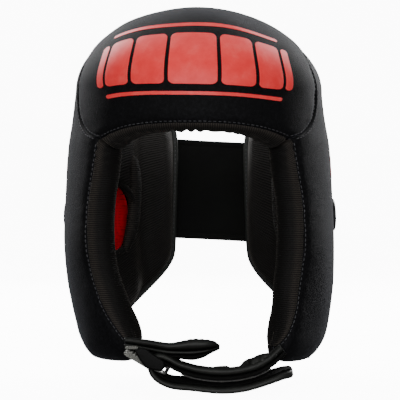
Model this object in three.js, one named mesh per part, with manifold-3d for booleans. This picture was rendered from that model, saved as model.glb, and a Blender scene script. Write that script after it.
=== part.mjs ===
// A soft padded guard for the head and ears, worn over the head and closed under the chin.
// Millimetres, +Z up, the wearer faces -Y. The origin is where the top of the head meets the lining.
// Neoprene pads lie outside, ribbed lining pads lie inside, and the lining rolls out round the face.

import * as THREE from "three";
import { mergeVertices } from "three/addons/utils/BufferGeometryUtils.js";
import Module from "manifold-3d";

// The whole guard
const HALF_WIDTH = 99.5; // outside of a side pad from the middle plane, at the ears
const FRONT_REACH = 108; // outside of the brow, in front of the ear plane
const REAR_REACH = 104; // outside of the rear edges, behind the ear plane
const GUARD_DROP = 237; // from the head's top down to the lowest edge of a side pad
const DOME_RISE = 62; // height of the domed crown above the upright walls
const SHELL = 11; // thickness of the neoprene pads
const LINING = 11; // thickness of the lining pads
const EDGE = 2; // thickness left in each pad at a sewn edge
const GAP = 0.3; // between pieces that touch

// The lining's roll round the face, and the pads' rounded edges
const ROLL = 11; // how far the roll stands out past the neoprene's seam
const ROLL_RISE = 9.8; // how far the roll swells out of the split between the pads
const BROW_ROLL = 5.6; // how far it stands out below the middle of the brow
const ROLL_CHIN_LOSS = 0.8; // share of the roll's width lost at the chin corner
const ROLL_CORNER_LOSS = 0.35; // share of it lost at the brow's corner
const ROLL_CHIN_END = 0.22; // share of the way up the face where the chin's loss ends
const ROLL_CORNER_START = 0.85; // share of the way up where the corner's loss begins
const CROWN_SWELL = 1.8; // how far the forehead pad bulges past the guard's plain form
const SWELL_FORWARD = 0.12; // share of the crown's length by which the bulge sits forward
const SEAM_REACH = 10; // width of the slope into the seam between crown and side
const SEAM_DIP = 4.5;
const FACE_REACH = 9; // width of the slope into the seam round the face
const FACE_DIP = 2.6;
const HEM_REACH = 21; // width of the slope down to the rear and lower edges
const HEM_DIP = SHELL - EDGE;

// The ear openings, their red cups and the vents outside them
const EAR_TURN = 117; // degrees round from the front
const EAR_DOWN = 134; // below the origin
const EAR_HALF_LENGTH = 24;
const EAR_HALF_HEIGHT = 27;
const EAR_FLOOR = 5; // neoprene left outside the ear opening
const CUP_WALL = 2;
const VENT_TURN = 101;
const VENT_DOWN = 131;
const VENT_RADIUS = 12.5;
const VENT_THICKNESS = 2.6;
const CUP_LIP = 0.78; // share of the lining's thickness that the cup reaches through
// The vent's face from its rim inwards: share of its radius, and share of its thickness
const VENT_FACE = [
  { size: 1, high: 0.7 },
  { size: 0.93, high: 1 },
  { size: 0.82, high: 1 },
  { size: 0.76, high: 0.6 },
  { size: 0.2, high: 0.6 },
];

// The strap across the back, and the bound rear edges
const REAR_STRAP_TOP = 72; // below the origin
const REAR_STRAP_HEIGHT = 80;
const REAR_STRAP_HALF_TURN = 34; // degrees each side of the back
const REAR_STRAP_THICKNESS = 3;
const BINDING_WIDTH = 6.6;
const BINDING_DEPTH = 5;
const BINDING_START = 0.36; // share of the hem, back from the chin corner, that has no binding
const BINDING_END = 0.94; // share of the rear edge, up to the crown, that is bound

// The chin strap, its flap, ring and tab
const STRAP_BREADTH = 30;
const STRAP_THICKNESS = 8.2; // where it leaves the right pad
const STRAP_RETURN = 6; // its thickness round the ring and on its way back
const STRAP_THINS = 0.3; // share of its length where it starts to thin
const STRAP_THINNED = 0.42;
const STRAP_TIP = 0.35; // share of a strap's breadth left at its rounded end
const FLAP_THICKNESS = 6.4;
const RING_WIRE = 2.6;
const RING_LENGTH = 36; // between the wires' middles, across the strap
const RING_SIDE_CORNER = 3;
const TAB_HALF_THICKNESS = 3.4;
const KEEPER_THICKNESS = 2.6;

// Outside half width of the guard, from the foot of the dome to the hem
const WIDTH_ROWS = [
  { down: 0.169, wide: 0.917 },
  { down: 0.27, wide: 0.942 },
  { down: 0.346, wide: 0.968 },
  { down: 0.5, wide: 0.992 },
  { down: 0.616, wide: 1 },
  { down: 0.747, wide: 0.988 },
  { down: 0.823, wide: 0.964 },
  { down: 0.895, wide: 0.93 },
  { down: 1, wide: 0.88 },
];

// The crown from brow to nape. middle and seam are degrees over the head, 0 at the front where the
// dome starts and 90 at the top. across is the seam's share of the half width there.
const CROWN_ROWS = [
  { along: 0, middle: -25, seam: -34, across: 0.687 },
  { along: 0.05, middle: -19, seam: -29, across: 0.8 },
  { along: 0.12, middle: -10, seam: -18, across: 0.888 },
  { along: 0.22, middle: 5, seam: 5, across: 0.936 },
  { along: 0.34, middle: 28, seam: 35, across: 0.905 },
  { along: 0.5, middle: 60, seam: 64, across: 0.843 },
  { along: 0.64, middle: 90, seam: 90, across: 0.777 },
  { along: 0.82, middle: 125, seam: 125, across: 0.719 },
  { along: 1, middle: 160, seam: 157, across: 0.616 },
];

// The seam round the face, from the chin corner up to the brow corner
const FACE_ROWS = [
  { along: 0, down: 0.937, across: 0.575 },
  { along: 0.1, down: 0.89, across: 0.628 },
  { along: 0.2, down: 0.831, across: 0.685 },
  { along: 0.31, down: 0.772, across: 0.719 },
  { along: 0.46, down: 0.684, across: 0.759 },
  { along: 0.61, down: 0.595, across: 0.772 },
  { along: 0.76, down: 0.506, across: 0.761 },
  { along: 0.88, down: 0.42, across: 0.725 },
];

// The rear edge of a side pad, from the strap's foot up to the crown's rear corner
const REAR_ROWS = [
  { along: 0, down: 0.641, turn: 158.5 },
  { along: 0.3, down: 0.464, turn: 159 },
  { along: 0.56, down: 0.304, turn: 158 },
  { along: 0.72, down: 0.24, turn: 153.5 },
  { along: 0.86, down: 0.165, turn: 146 },
];

// The lower edge of a side pad, from the chin corner back up to the rear strap's foot
const HEM_ROWS = [
  { along: 0.08, down: 0.978, turn: 42 },
  { along: 0.18, down: 0.992, turn: 56 },
  { along: 0.32, down: 0.99, turn: 75 },
  { along: 0.47, down: 0.96, turn: 95 },
  { along: 0.62, down: 0.905, turn: 115 },
  { along: 0.77, down: 0.833, turn: 134 },
  { along: 0.88, down: 0.762, turn: 149 },
  { along: 0.95, down: 0.7, turn: 157 },
];

// How thick a side lining is, from the face seam to the rear edge: the dip before the ear,
// the roll behind it, the valley, and the pillow at the back of the head
const RELIEF_ROWS = [
  { along: 0, thick: 1 },
  { along: 0.12, thick: 0.93 },
  { along: 0.3, thick: 0.8 },
  { along: 0.55, thick: 0.82 },
  { along: 0.77, thick: 1.2 },
  { along: 0.83, thick: 0.7 },
  { along: 0.91, thick: 1.1 },
  { along: 1, thick: 0.8 },
];

// The strap's middle line from the right chin corner to the ring, round it and back to its free end.
// across, front and down are shares of HALF_WIDTH, FRONT_REACH and GUARD_DROP, here and below.
const STRAP_ROUTE = [
  { across: 0.633, front: 0.778, down: 0.9266 },
  { across: 0.583, front: 0.796, down: 0.9443 },
  { across: 0.522, front: 0.815, down: 0.9671 },
  { across: 0.438, front: 0.833, down: 0.9861 },
  { across: 0.356, front: 0.843, down: 0.9958 },
  { across: 0.264, front: 0.852, down: 1.0017 },
  { across: 0.173, front: 0.861, down: 1.0025 },
  { across: 0.08, front: 0.861, down: 0.9983 },
  { across: -0.011, front: 0.861, down: 0.9882 },
  { across: -0.103, front: 0.852, down: 0.973 },
  { across: -0.176, front: 0.852, down: 0.9591 },
  { across: -0.246, front: 0.852, down: 0.9515 },
  { across: -0.296, front: 0.852, down: 0.9616 },
  { across: -0.314, front: 0.852, down: 0.9806 },
  { across: -0.297, front: 0.852, down: 1.0008 },
  { across: -0.255, front: 0.852, down: 1.0156 },
  { across: -0.195, front: 0.852, down: 1.0266 },
  { across: -0.122, front: 0.852, down: 1.0333 },
  { across: -0.011, front: 0.861, down: 1.0376 },
  { across: 0.08, front: 0.861, down: 1.0426 },
  { across: 0.173, front: 0.861, down: 1.046 },
  { across: 0.264, front: 0.852, down: 1.0447 },
  { across: 0.356, front: 0.843, down: 1.0384 },
  { across: 0.448, front: 0.833, down: 1.0266 },
  { across: 0.54, front: 0.824, down: 1.0101 },
  { across: 0.622, front: 0.815, down: 0.9954 },
  { across: 0.668, front: 0.806, down: 0.9924 },
];

// The left flap's middle line, from the left chin corner to its free end, with its hanging belly
const FLAP_ROUTE = [
  { across: -0.523, front: 0.787, down: 0.9072, belly: 0 },
  { across: -0.488, front: 0.796, down: 0.9084, belly: 0 },
  { across: -0.333, front: 0.824, down: 0.9148, belly: 0 },
  { across: -0.195, front: 0.843, down: 0.9203, belly: 0 },
  { across: -0.103, front: 0.852, down: 0.9219, belly: 0.2 },
  { across: -0.011, front: 0.861, down: 0.9207, belly: 0.9 },
  { across: 0.08, front: 0.861, down: 0.9181, belly: 0.8 },
  { across: 0.149, front: 0.861, down: 0.9219, belly: 0.1 },
];
const FLAP_BELLY = 7;

// The tab, its keeper plate and the ring's two long bars, seen from the front
const STRAP_MIDDLE = 0.852; // share of FRONT_REACH at which they are centred
const TAB_ROOT = { across: -0.4724, down: 0.9536 };
const RING_NEAR = { across: -0.3779, down: 0.9662 };
const RING_FAR = { across: -0.2151, down: 0.992 };
const KEEPER_OUTLINE = [
  { across: -0.4925, down: 0.9451 },
  { across: -0.397, down: 0.9401 },
  { across: -0.3417, down: 0.9392 },
  { across: -0.209, down: 0.9802 },
  { across: -0.2221, down: 0.9975 },
  { across: -0.3186, down: 0.9958 },
  { across: -0.3719, down: 0.9814 },
  { across: -0.4925, down: 0.9705 },
];
const TAB_END_ACROSS = -0.4482; // middle of the webbing's stitched end
const TAB_END_LENGTH = 9;
const TAB_END_BREADTH = 26;
const TAB_END_THICKNESS = 1.9;

const PAD = SHELL + LINING;
const DOME_BASE = PAD - DOME_RISE;
const DEGREE = Math.PI / 180;
const RIGHT = 1;
const LEFT = -1;

const wasm = await Module();
wasm.setup();

// A smooth value read from a table's column at one place along it.
function read(rows, place, column, at) {
  let i = 0;
  while (i < rows.length - 2 && at > rows[i + 1][place]) i++;
  const slope = (k) => {
    const before = rows[Math.max(k - 1, 0)];
    const after = rows[Math.min(k + 1, rows.length - 1)];
    return (after[column] - before[column]) / (after[place] - before[place]);
  };
  const [from, to] = [rows[i], rows[i + 1]];
  const span = to[place] - from[place];
  const t = THREE.MathUtils.clamp((at - from[place]) / span, 0, 1);
  const rise = to[column] - from[column];
  return (
    from[column] +
    t * t * (3 - 2 * t) * rise +
    t * (1 - t) * span * ((1 - t) * slope(i) - t * slope(i + 1))
  );
}

const halfWidth = (z) => HALF_WIDTH * read(WIDTH_ROWS, "down", "wide", -z / GUARD_DROP);
const reach = (towardFront) => (towardFront > 0 ? FRONT_REACH : REAR_REACH);

// The guard's outside, by the turn round from the front and the way up from the dome's foot.
function wallPoint(turn, up) {
  const climb = Math.max(up, 0) / DOME_RISE;
  const z = up > 0 ? DOME_BASE + DOME_RISE * Math.sin(climb) : DOME_BASE + up;
  const wide = halfWidth(Math.min(z, DOME_BASE)) * Math.cos(climb);
  const deep = reach(Math.cos(turn)) * Math.cos(climb);
  return new THREE.Vector3(wide * Math.sin(turn), -deep * Math.cos(turn), z);
}

// The same outside, by the lean to one side and the pitch over the head.
function domePoint(lean, pitch) {
  if (pitch < 0) return wallPoint(lean, DOME_RISE * pitch);
  const wide = halfWidth(DOME_BASE) * Math.sin(lean);
  const deep = reach(Math.cos(pitch)) * Math.cos(pitch) * Math.cos(lean);
  return new THREE.Vector3(wide, -deep, DOME_BASE + DOME_RISE * Math.sin(pitch) * Math.cos(lean));
}

// A point of one of those surfaces, sunk in by a depth square to it.
function sink(surface, a, b, depth) {
  const step = 0.002;
  const along = surface(a + step, b).sub(surface(a - step, b));
  const up = surface(a, b + step).sub(surface(a, b - step));
  return surface(a, b).addScaledVector(along.cross(up).normalize(), -depth);
}

// How far a pad's face has dropped at a distance from its edge: nothing past the slope's width.
function slope(distance, width, dip) {
  const share = THREE.MathUtils.clamp(distance / width, 0, 1);
  return dip * (1 - Math.sqrt(1 - (1 - share) ** 2));
}

// Where a point of the outside lies, as turn and way up.
function wallPlace(p) {
  const climb = Math.asin(THREE.MathUtils.clamp((p.z - DOME_BASE) / DOME_RISE, 0, 1));
  const wide = halfWidth(Math.min(p.z, DOME_BASE));
  const turn = Math.atan2(p.x / wide, -p.y / reach(-p.y));
  return { turn, up: p.z > DOME_BASE ? DOME_RISE * climb : p.z - DOME_BASE };
}

function crownPlace(share, along) {
  const across = read(CROWN_ROWS, "along", "across", along);
  const middle = read(CROWN_ROWS, "along", "middle", along);
  const seam = read(CROWN_ROWS, "along", "seam", along);
  const pitch = middle + (seam - middle) * Math.abs(share) ** 3;
  return { lean: Math.asin(across) * share, pitch: pitch * DEGREE };
}

function seamPlace(along) {
  const { lean, pitch } = crownPlace(1, along);
  return wallPlace(domePoint(lean, pitch));
}

const upFrom = (down) => -down * GUARD_DROP - DOME_BASE;

function facePlace(at) {
  const corner = domePoint(Math.asin(CROWN_ROWS[0].across), CROWN_ROWS[0].seam * DEGREE);
  const top = { along: 1, down: -corner.z / GUARD_DROP, across: CROWN_ROWS[0].across };
  const rows = [...FACE_ROWS, top];
  const down = read(rows, "along", "down", at);
  const across = read(rows, "along", "across", at);
  const wide = at === 1 ? 1 : HALF_WIDTH / halfWidth(-down * GUARD_DROP);
  return { turn: Math.asin(across * wide), up: upFrom(down) };
}

// A place as a row of a table of turns in degrees.
function edgeRow(along, place) {
  return { along, down: -(place.up + DOME_BASE) / GUARD_DROP, turn: place.turn / DEGREE };
}

function edgePlace(rows, at) {
  return { turn: read(rows, "along", "turn", at) * DEGREE, up: upFrom(read(rows, "along", "down", at)) };
}

const REAR_EDGE = [...REAR_ROWS, edgeRow(1, seamPlace(1))];
const rearPlace = (at) => edgePlace(REAR_EDGE, at);
const HEM_EDGE = [edgeRow(0, facePlace(0)), ...HEM_ROWS, edgeRow(1, rearPlace(0))];
const hemPlace = (at) => edgePlace(HEM_EDGE, at);

// A place in a side pad: u from the face to the rear, v from the hem up to the crown's seam.
// The four edges are blended across the pad.
function sidePlace(u, v) {
  const [face, rear, hem, seam] = [facePlace(v), rearPlace(v), hemPlace(u), seamPlace(u)];
  const corners = [facePlace(0), rearPlace(0), facePlace(1), rearPlace(1)];
  const blend = (key) =>
    (1 - u) * face[key] + u * rear[key] + (1 - v) * hem[key] + v * seam[key] -
    (1 - u) * (1 - v) * corners[0][key] - u * (1 - v) * corners[1][key] -
    (1 - u) * v * corners[2][key] - u * v * corners[3][key];
  return { turn: blend("turn"), up: blend("up") };
}

const sidePoint = ({ turn, up }, depth) => sink(wallPoint, turn, up, depth);
const crownPoint = ({ lean, pitch }, depth) => sink(domePoint, lean, pitch, depth);

// Shares from 0 to 1, close together at both ends where the edges round over.
function steps(count, crowd = 1) {
  const shares = [];
  for (let i = 0; i <= count; i++) {
    const even = i / count;
    const eased = (1 - Math.cos(Math.PI * even)) / 2;
    shares.push(even + (eased - even) * crowd);
  }
  return shares;
}

function signedVolume(points, index) {
  let volume = 0;
  for (let i = 0; i < index.length; i += 3) {
    const [a, b, c] = [points[index[i]], points[index[i + 1]], points[index[i + 2]]];
    volume += a.dot(b.clone().cross(c)) / 6;
  }
  return volume;
}

// A closed geometry from its points and triangles, with its faces turned out.
function closed(points, index) {
  const turned = signedVolume(points, index) < 0 ? index.toReversed() : index;
  const geometry = new THREE.BufferGeometry().setFromPoints(points);
  geometry.setIndex(turned);
  return geometry;
}

// A pad between a face and a back, over a grid of columns and rows.
function padGeometry(columns, rows, wall) {
  const [nu, nv] = [columns.length, rows.length];
  const face = [];
  const back = [];
  for (const u of columns) {
    for (const v of rows) {
      const both = wall(u, v);
      face.push(both.face);
      back.push(both.back);
    }
  }
  const index = [];
  const quad = (a, b, c, d) => index.push(a, b, c, a, c, d);
  const under = face.length;
  for (let i = 0; i < nu - 1; i++) {
    for (let j = 0; j < nv - 1; j++) {
      const at = i * nv + j;
      quad(at, at + nv, at + nv + 1, at + 1);
      quad(under + at, under + at + 1, under + at + nv + 1, under + at + nv);
    }
  }
  const rim = [];
  for (let i = 0; i < nu - 1; i++) rim.push(i * nv);
  for (let j = 0; j < nv - 1; j++) rim.push((nu - 1) * nv + j);
  for (let i = nu - 1; i > 0; i--) rim.push(i * nv + nv - 1);
  for (let j = nv - 1; j > 0; j--) rim.push(j);
  rim.forEach((a, k) => {
    const b = rim[(k + 1) % rim.length];
    quad(a, under + a, under + b, b);
  });
  return closed([...face, ...back], index);
}

// Rings of equal length joined one to the next, closed by fans or into a loop.
function ringGeometry(rings, loop = false) {
  const count = rings[0].length;
  const points = rings.flat();
  const index = [];
  const last = loop ? rings.length : rings.length - 1;
  for (let r = 0; r < last; r++) {
    const next = (r + 1) % rings.length;
    for (let k = 0; k < count; k++) {
      const [a, b] = [r * count + k, r * count + ((k + 1) % count)];
      const [c, d] = [next * count + ((k + 1) % count), next * count + k];
      index.push(a, b, c, a, c, d);
    }
  }
  if (!loop) {
    for (const [ring, first, turn] of [[rings[0], 0, 1], [rings.at(-1), points.length - count, -1]]) {
      const middle = ring.reduce((sum, p) => sum.add(p), new THREE.Vector3()).divideScalar(count);
      const hub = points.push(middle) - 1;
      for (let k = 0; k < count; k++) {
        const [a, b] = [first + k, first + ((k + 1) % count)];
        index.push(hub, turn > 0 ? b : a, turn > 0 ? a : b);
      }
    }
  }
  return closed(points, index);
}

function solidOf(geometry) {
  const bare = new THREE.BufferGeometry().setAttribute("position", geometry.getAttribute("position"));
  if (geometry.index) bare.setIndex(geometry.index);
  const merged = mergeVertices(bare, 1e-4);
  return new wasm.Manifold(
    new wasm.Mesh({
      numProp: 3,
      vertProperties: new Float32Array(merged.getAttribute("position").array),
      triVerts: new Uint32Array(merged.index.array),
    }),
  );
}

function geometryOf(solid) {
  const mesh = solid.getMesh();
  const geometry = new THREE.BufferGeometry();
  geometry.setAttribute("position", new THREE.BufferAttribute(mesh.vertProperties, 3));
  geometry.setIndex(new THREE.BufferAttribute(mesh.triVerts, 1));
  return geometry;
}

// What is left of a geometry after others are cut away, with scraps that come off it dropped.
function cut(geometry, ...cutters) {
  const left = cutters.reduce((solid, cutter) => solid.subtract(solidOf(cutter)), solidOf(geometry));
  const bodies = left.decompose().sort((a, b) => b.volume() - a.volume());
  return geometryOf(bodies[0]);
}

const join = (a, b) => geometryOf(solidOf(a).add(solidOf(b)));

function mirrored(geometry) {
  const copy = geometry.clone().toNonIndexed();
  copy.deleteAttribute("normal");
  copy.deleteAttribute("uv");
  copy.scale(LEFT, 1, 1);
  const merged = mergeVertices(copy, 1e-4);
  merged.setIndex([...merged.index.array].reverse());
  return merged;
}

const sided = (geometry, side) => (side === RIGHT ? geometry : mirrored(geometry));

// Distances from a place in a side pad to its four edges.
function sideDistances(u, v) {
  const here = sidePoint(sidePlace(u, v), 0);
  return {
    face: here.distanceTo(sidePoint(sidePlace(0, v), 0)),
    rear: here.distanceTo(sidePoint(sidePlace(1, v), 0)),
    hem: here.distanceTo(sidePoint(sidePlace(u, 0), 0)),
    seam: here.distanceTo(sidePoint(sidePlace(u, 1), 0)),
  };
}

const SIDE_LENGTH = sidePoint(facePlace(0.5), 0).distanceTo(sidePoint(rearPlace(0.5), 0));
const SIDE_HEIGHT = sidePoint(hemPlace(0.3), 0).distanceTo(sidePoint(seamPlace(0.3), 0));

const SIDE_COLUMNS = steps(15, 0.75);
const SIDE_ROWS = steps(13, 0.75).map((v) => v * (1 - GAP / SIDE_HEIGHT));
const ROLL_SHARES = [1, 0.93, 0.8, 0.6, 0.35, GAP / ROLL];

// How deep the neoprene's face lies at a place in a side pad.
function shellDepth(u, v) {
  const far = sideDistances(u, v);
  const dips =
    slope(far.face, FACE_REACH, FACE_DIP) + slope(far.seam, SEAM_REACH, SEAM_DIP) +
    slope(far.rear, HEM_REACH, HEM_DIP) + slope(far.hem, HEM_REACH, HEM_DIP);
  return Math.min(dips, SHELL - EDGE);
}

// How deep the lining's back lies at a place in a side pad.
function liningDepth(u, v) {
  const far = sideDistances(u, v);
  const thick = LINING * read(RELIEF_ROWS, "along", "thick", u);
  const dips =
    slope(far.rear, HEM_REACH, thick - EDGE) + slope(far.hem, HEM_REACH, LINING - EDGE) +
    slope(far.seam, SEAM_REACH, SEAM_DIP);
  return SHELL + GAP + Math.max(thick - dips, EDGE);
}

// The neoprene pad of one side.
function sideShell(side) {
  const columns = SIDE_COLUMNS.with(0, GAP / SIDE_LENGTH);
  const shell = padGeometry(columns, SIDE_ROWS, (u, v) => {
    const place = sidePlace(u, v);
    return { face: sidePoint(place, shellDepth(u, v)), back: sidePoint(place, SHELL) };
  });
  return sided(cut(shell, earPlug()), side);
}

// A place in the roll in front of the face seam. out is 0 at the seam and 1 at the roll's edge.
// It narrows at the chin, and its upper end is mitred into the brow's roll.
function rollPlace(out, v) {
  const place = facePlace(v);
  const mitre = THREE.MathUtils.smoothstep(v, ROLL_CORNER_START, 1);
  const chin = 1 - THREE.MathUtils.smoothstep(v, 0, ROLL_CHIN_END);
  const width = ROLL * (1 - ROLL_CHIN_LOSS * chin) * (1 - ROLL_CORNER_LOSS * mitre);
  return { turn: place.turn - (out * width) / HALF_WIDTH, up: place.up - out * width * mitre };
}

// How deep the two sides of a roll lie, at a share of its width out from the seam.
function rollDepths(out, dips) {
  const round = Math.sqrt(1 - Math.min(out, 1) ** 2);
  return {
    face: SHELL - Math.max(ROLL_RISE * round - dips, EDGE / 2),
    back: SHELL + GAP + Math.max(LINING * round - dips, EDGE / 2),
  };
}

// The ribbed lining pad of one side, with its roll and its ear opening.
function sideLining(side) {
  const columns = [...ROLL_SHARES.map((out) => -out), ...SIDE_COLUMNS];
  const lining = padGeometry(columns, SIDE_ROWS, (u, v) => {
    if (u < 0) {
      const place = rollPlace(-u, v);
      const depths = rollDepths(-u, rollDips(v));
      return { face: sidePoint(place, depths.face), back: sidePoint(place, depths.back) };
    }
    const place = sidePlace(u, v);
    return { face: sidePoint(place, SHELL + GAP), back: sidePoint(place, liningDepth(u, v)) };
  });
  return sided(cut(lining, earPlug()), side);
}

function rollDips(v) {
  const far = sideDistances(0, v);
  return slope(far.hem, HEM_REACH, LINING - EDGE) + slope(far.seam, SEAM_REACH, SEAM_DIP);
}

// A round solid on a side wall, by rings of share of its half sizes and depth.
function roundGeometry(turn, down, halfLength, halfHeight, profile) {
  const around = 16;
  const rings = profile.map(({ size, depth }) =>
    Array.from({ length: around }, (_, k) => {
      const angle = (2 * Math.PI * k) / around;
      const place = {
        turn: turn * DEGREE + (size * halfLength * Math.cos(angle)) / HALF_WIDTH,
        up: -down - DOME_BASE + size * halfHeight * Math.sin(angle),
      };
      return sidePoint(place, depth);
    }),
  );
  return ringGeometry(rings);
}

// What the ear opening takes out of both pads.
function earPlug() {
  return roundGeometry(EAR_TURN, EAR_DOWN, EAR_HALF_LENGTH, EAR_HALF_HEIGHT, [
    { size: 0.25, depth: EAR_FLOOR },
    { size: 0.6, depth: EAR_FLOOR },
    { size: 1, depth: EAR_FLOOR },
    { size: 1, depth: SHELL },
    { size: 1, depth: PAD },
    { size: 1, depth: PAD + LINING },
  ]);
}

// The red cup that lines the ear opening.
function earCup(side) {
  const lip = SHELL + LINING * CUP_LIP;
  const outside = 1 - (2 * GAP) / (EAR_HALF_LENGTH + EAR_HALF_HEIGHT);
  const inside = outside - (2 * CUP_WALL) / (EAR_HALF_LENGTH + EAR_HALF_HEIGHT);
  const floor = EAR_FLOOR + GAP;
  const cup = roundGeometry(EAR_TURN, EAR_DOWN, EAR_HALF_LENGTH, EAR_HALF_HEIGHT, [
    { size: 0.25, depth: floor },
    { size: 0.6, depth: floor },
    { size: outside, depth: floor },
    { size: outside, depth: lip - CUP_WALL / 2 },
    { size: (outside + inside) / 2, depth: lip },
    { size: inside, depth: lip - CUP_WALL / 2 },
    { size: inside, depth: floor + CUP_WALL },
    { size: 0.6, depth: floor + CUP_WALL },
    { size: 0.25, depth: floor + CUP_WALL },
  ]);
  return sided(cup, side);
}

// The thin disc outside the ear, with its raised rim.
function earVent(side) {
  const vent = roundGeometry(VENT_TURN, VENT_DOWN, VENT_RADIUS, VENT_RADIUS, [
    { size: VENT_FACE.at(-1).size, depth: -GAP },
    { size: 1, depth: -GAP },
    ...VENT_FACE.map(({ size, high }) => ({ size, depth: -GAP - VENT_THICKNESS * high })),
  ]);
  return sided(vent, side);
}

// Distances from a place in the crown to its edges.
function crownDistances(share, along) {
  const point = (s, a) => {
    const { lean, pitch } = crownPlace(s, a);
    return domePoint(lean, pitch);
  };
  const here = point(share, along);
  return {
    seam: here.distanceTo(point(Math.sign(share) || 1, along)),
    brow: here.distanceTo(point(share, 0)),
    nape: here.distanceTo(point(share, 1)),
  };
}

const CROWN_SHARES = steps(18, 0.75).map((s) => (2 * s - 1) * (1 - GAP / HALF_WIDTH));
const CROWN_STEPS = steps(14, 0.7);

// The bulging neoprene pad over forehead and crown.
function crownShell() {
  return padGeometry(CROWN_SHARES, CROWN_STEPS.with(0, GAP / SIDE_HEIGHT), (share, along) => {
    const far = crownDistances(share, along);
    const forward = Math.min(along + SWELL_FORWARD, 1);
    const middle = Math.sqrt(Math.max(0, 1 - share ** 4)) * Math.sin(Math.PI * forward);
    const dips =
      slope(far.seam, SEAM_REACH, SEAM_DIP) + slope(far.brow, SEAM_REACH, SEAM_DIP) +
      slope(far.nape, HEM_REACH, HEM_DIP) - CROWN_SWELL * middle;
    const place = crownPlace(share, along);
    return {
      face: crownPoint(place, Math.min(dips, SHELL - EDGE)),
      back: crownPoint(place, SHELL),
    };
  });
}

// A place in the roll below the brow, with its ends mitred into the side rolls.
function browPlace(out, share) {
  const { lean, pitch } = crownPlace(share, 0);
  const narrowed = rollPlace(out, 1).turn / rollPlace(0, 1).turn;
  const corner = ROLL * (1 - ROLL_CORNER_LOSS);
  const width = BROW_ROLL + (corner - BROW_ROLL) * share ** 4;
  return {
    lean: lean * (1 - (1 - narrowed) * Math.abs(share) ** 3),
    pitch: pitch - (out * width) / DOME_RISE,
  };
}

// The ribbed lining of the crown, with the roll that shows below the brow.
function crownLining() {
  const rows = [...ROLL_SHARES.map((out) => -out), ...CROWN_STEPS];
  return padGeometry(CROWN_SHARES, rows, (share, along) => {
    if (along < 0) {
      const depths = rollDepths(-along, slope(crownDistances(share, 0).seam, SEAM_REACH, SEAM_DIP));
      const place = browPlace(-along, share);
      return { face: crownPoint(place, depths.face), back: crownPoint(place, depths.back) };
    }
    const far = crownDistances(share, along);
    const dips = slope(far.seam, SEAM_REACH, SEAM_DIP) + slope(far.nape, HEM_REACH, LINING - EDGE);
    const place = crownPlace(share, along);
    return {
      face: crownPoint(place, SHELL + GAP),
      back: crownPoint(place, SHELL + GAP + Math.max(LINING - GAP - dips, EDGE)),
    };
  });
}

// An outline of an oval with flattened sides, as pairs from -1 to 1.
function ovalOutline(count, squareness) {
  return Array.from({ length: count }, (_, k) => {
    const angle = (2 * Math.PI * k) / count;
    const bend = (value) => Math.sign(value) * Math.abs(value) ** squareness;
    return [bend(Math.cos(angle)), bend(Math.sin(angle))];
  });
}

// A piece of one section swept through frames, each with its middle and its two half sides.
function sweepGeometry(frames, outline, loop = false) {
  const rings = frames.map(({ at, wide, high, belly = 0 }) =>
    outline.map(([a, b]) => {
      const point = at.clone().addScaledVector(wide, a).addScaledVector(high, b);
      return b < 0 ? point.addScaledVector(high, (-belly * (1 - a * a)) / high.length()) : point;
    }),
  );
  return ringGeometry(rings, loop);
}

// The binding over the rear edge and the rising part of the hem.
function rearBinding(side) {
  const depth = SHELL + GAP / 2;
  const upToDown = steps(10, 0.3).toReversed();
  const places = [
    ...upToDown.map((share) => rearPlace(BINDING_END * share)),
    ...upToDown.slice(1).map((share) => hemPlace(BINDING_START + (1 - BINDING_START) * share)),
  ];
  const edges = places.map((place) => sidePoint(place, depth));
  const padMiddle = sidePoint(sidePlace(0.5, 0.5), depth);
  const frames = edges.map((edge, i) => {
    const through = edge.clone().sub(sidePoint(places[i], depth + 1));
    const before = edges[Math.max(i - 1, 0)];
    const after = edges[Math.min(i + 1, edges.length - 1)];
    const outward = after.clone().sub(before).cross(through).normalize();
    if (outward.dot(edge.clone().sub(padMiddle)) < 0) outward.negate();
    return {
      at: edge.clone().addScaledVector(outward, BINDING_DEPTH / 2 + 2 * GAP),
      wide: through.clone().setLength(BINDING_WIDTH / 2),
      high: outward.clone().multiplyScalar(BINDING_DEPTH / 2),
    };
  });
  return sided(sweepGeometry(frames, ovalOutline(8, 0.8)), side);
}

// The plain panel across the back, lapped over both side pads.
function rearStrap() {
  const columns = steps(14, 0.4).map((s) => 180 + (2 * s - 1) * REAR_STRAP_HALF_TURN);
  return padGeometry(columns, steps(6, 0.6), (turn, v) => {
    const up = -REAR_STRAP_TOP - DOME_BASE - (1 - v) * REAR_STRAP_HEIGHT;
    const edge = Math.min(v, 1 - v) * REAR_STRAP_HEIGHT;
    const rounding = slope(edge, REAR_STRAP_THICKNESS, REAR_STRAP_THICKNESS / 3);
    const place = { turn: turn * DEGREE, up };
    return {
      face: sidePoint(place, -GAP - REAR_STRAP_THICKNESS + rounding),
      back: sidePoint(place, -GAP),
    };
  });
}

// A side's two pads in one, with a clearance all round, to trim the strap ends that meet them.
function sideEnvelope(side) {
  const columns = [...ROLL_SHARES.map((out) => -out), ...SIDE_COLUMNS];
  const envelope = padGeometry(columns, SIDE_ROWS, (u, v) => {
    const place = u < 0 ? rollPlace(-u, v) : sidePlace(u, v);
    const depths = u < 0 ? rollDepths(-u, rollDips(v)) : { face: shellDepth(u, v), back: liningDepth(u, v) };
    if (u === -1) place.turn -= (2 * GAP) / HALF_WIDTH;
    if (v === 0) place.up -= 2 * GAP;
    return {
      face: sidePoint(place, depths.face - 2 * GAP),
      back: sidePoint(place, depths.back + 2 * GAP),
    };
  });
  return sided(envelope, side);
}

const TANGENT_STEP = 0.002; // share of a route's length each side, to find its direction

// A point given as shares of the guard's half width, front reach and drop.
function sharePoint({ across, front = STRAP_MIDDLE, down }) {
  return new THREE.Vector3(across * HALF_WIDTH, -front * FRONT_REACH, -down * GUARD_DROP);
}

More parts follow.
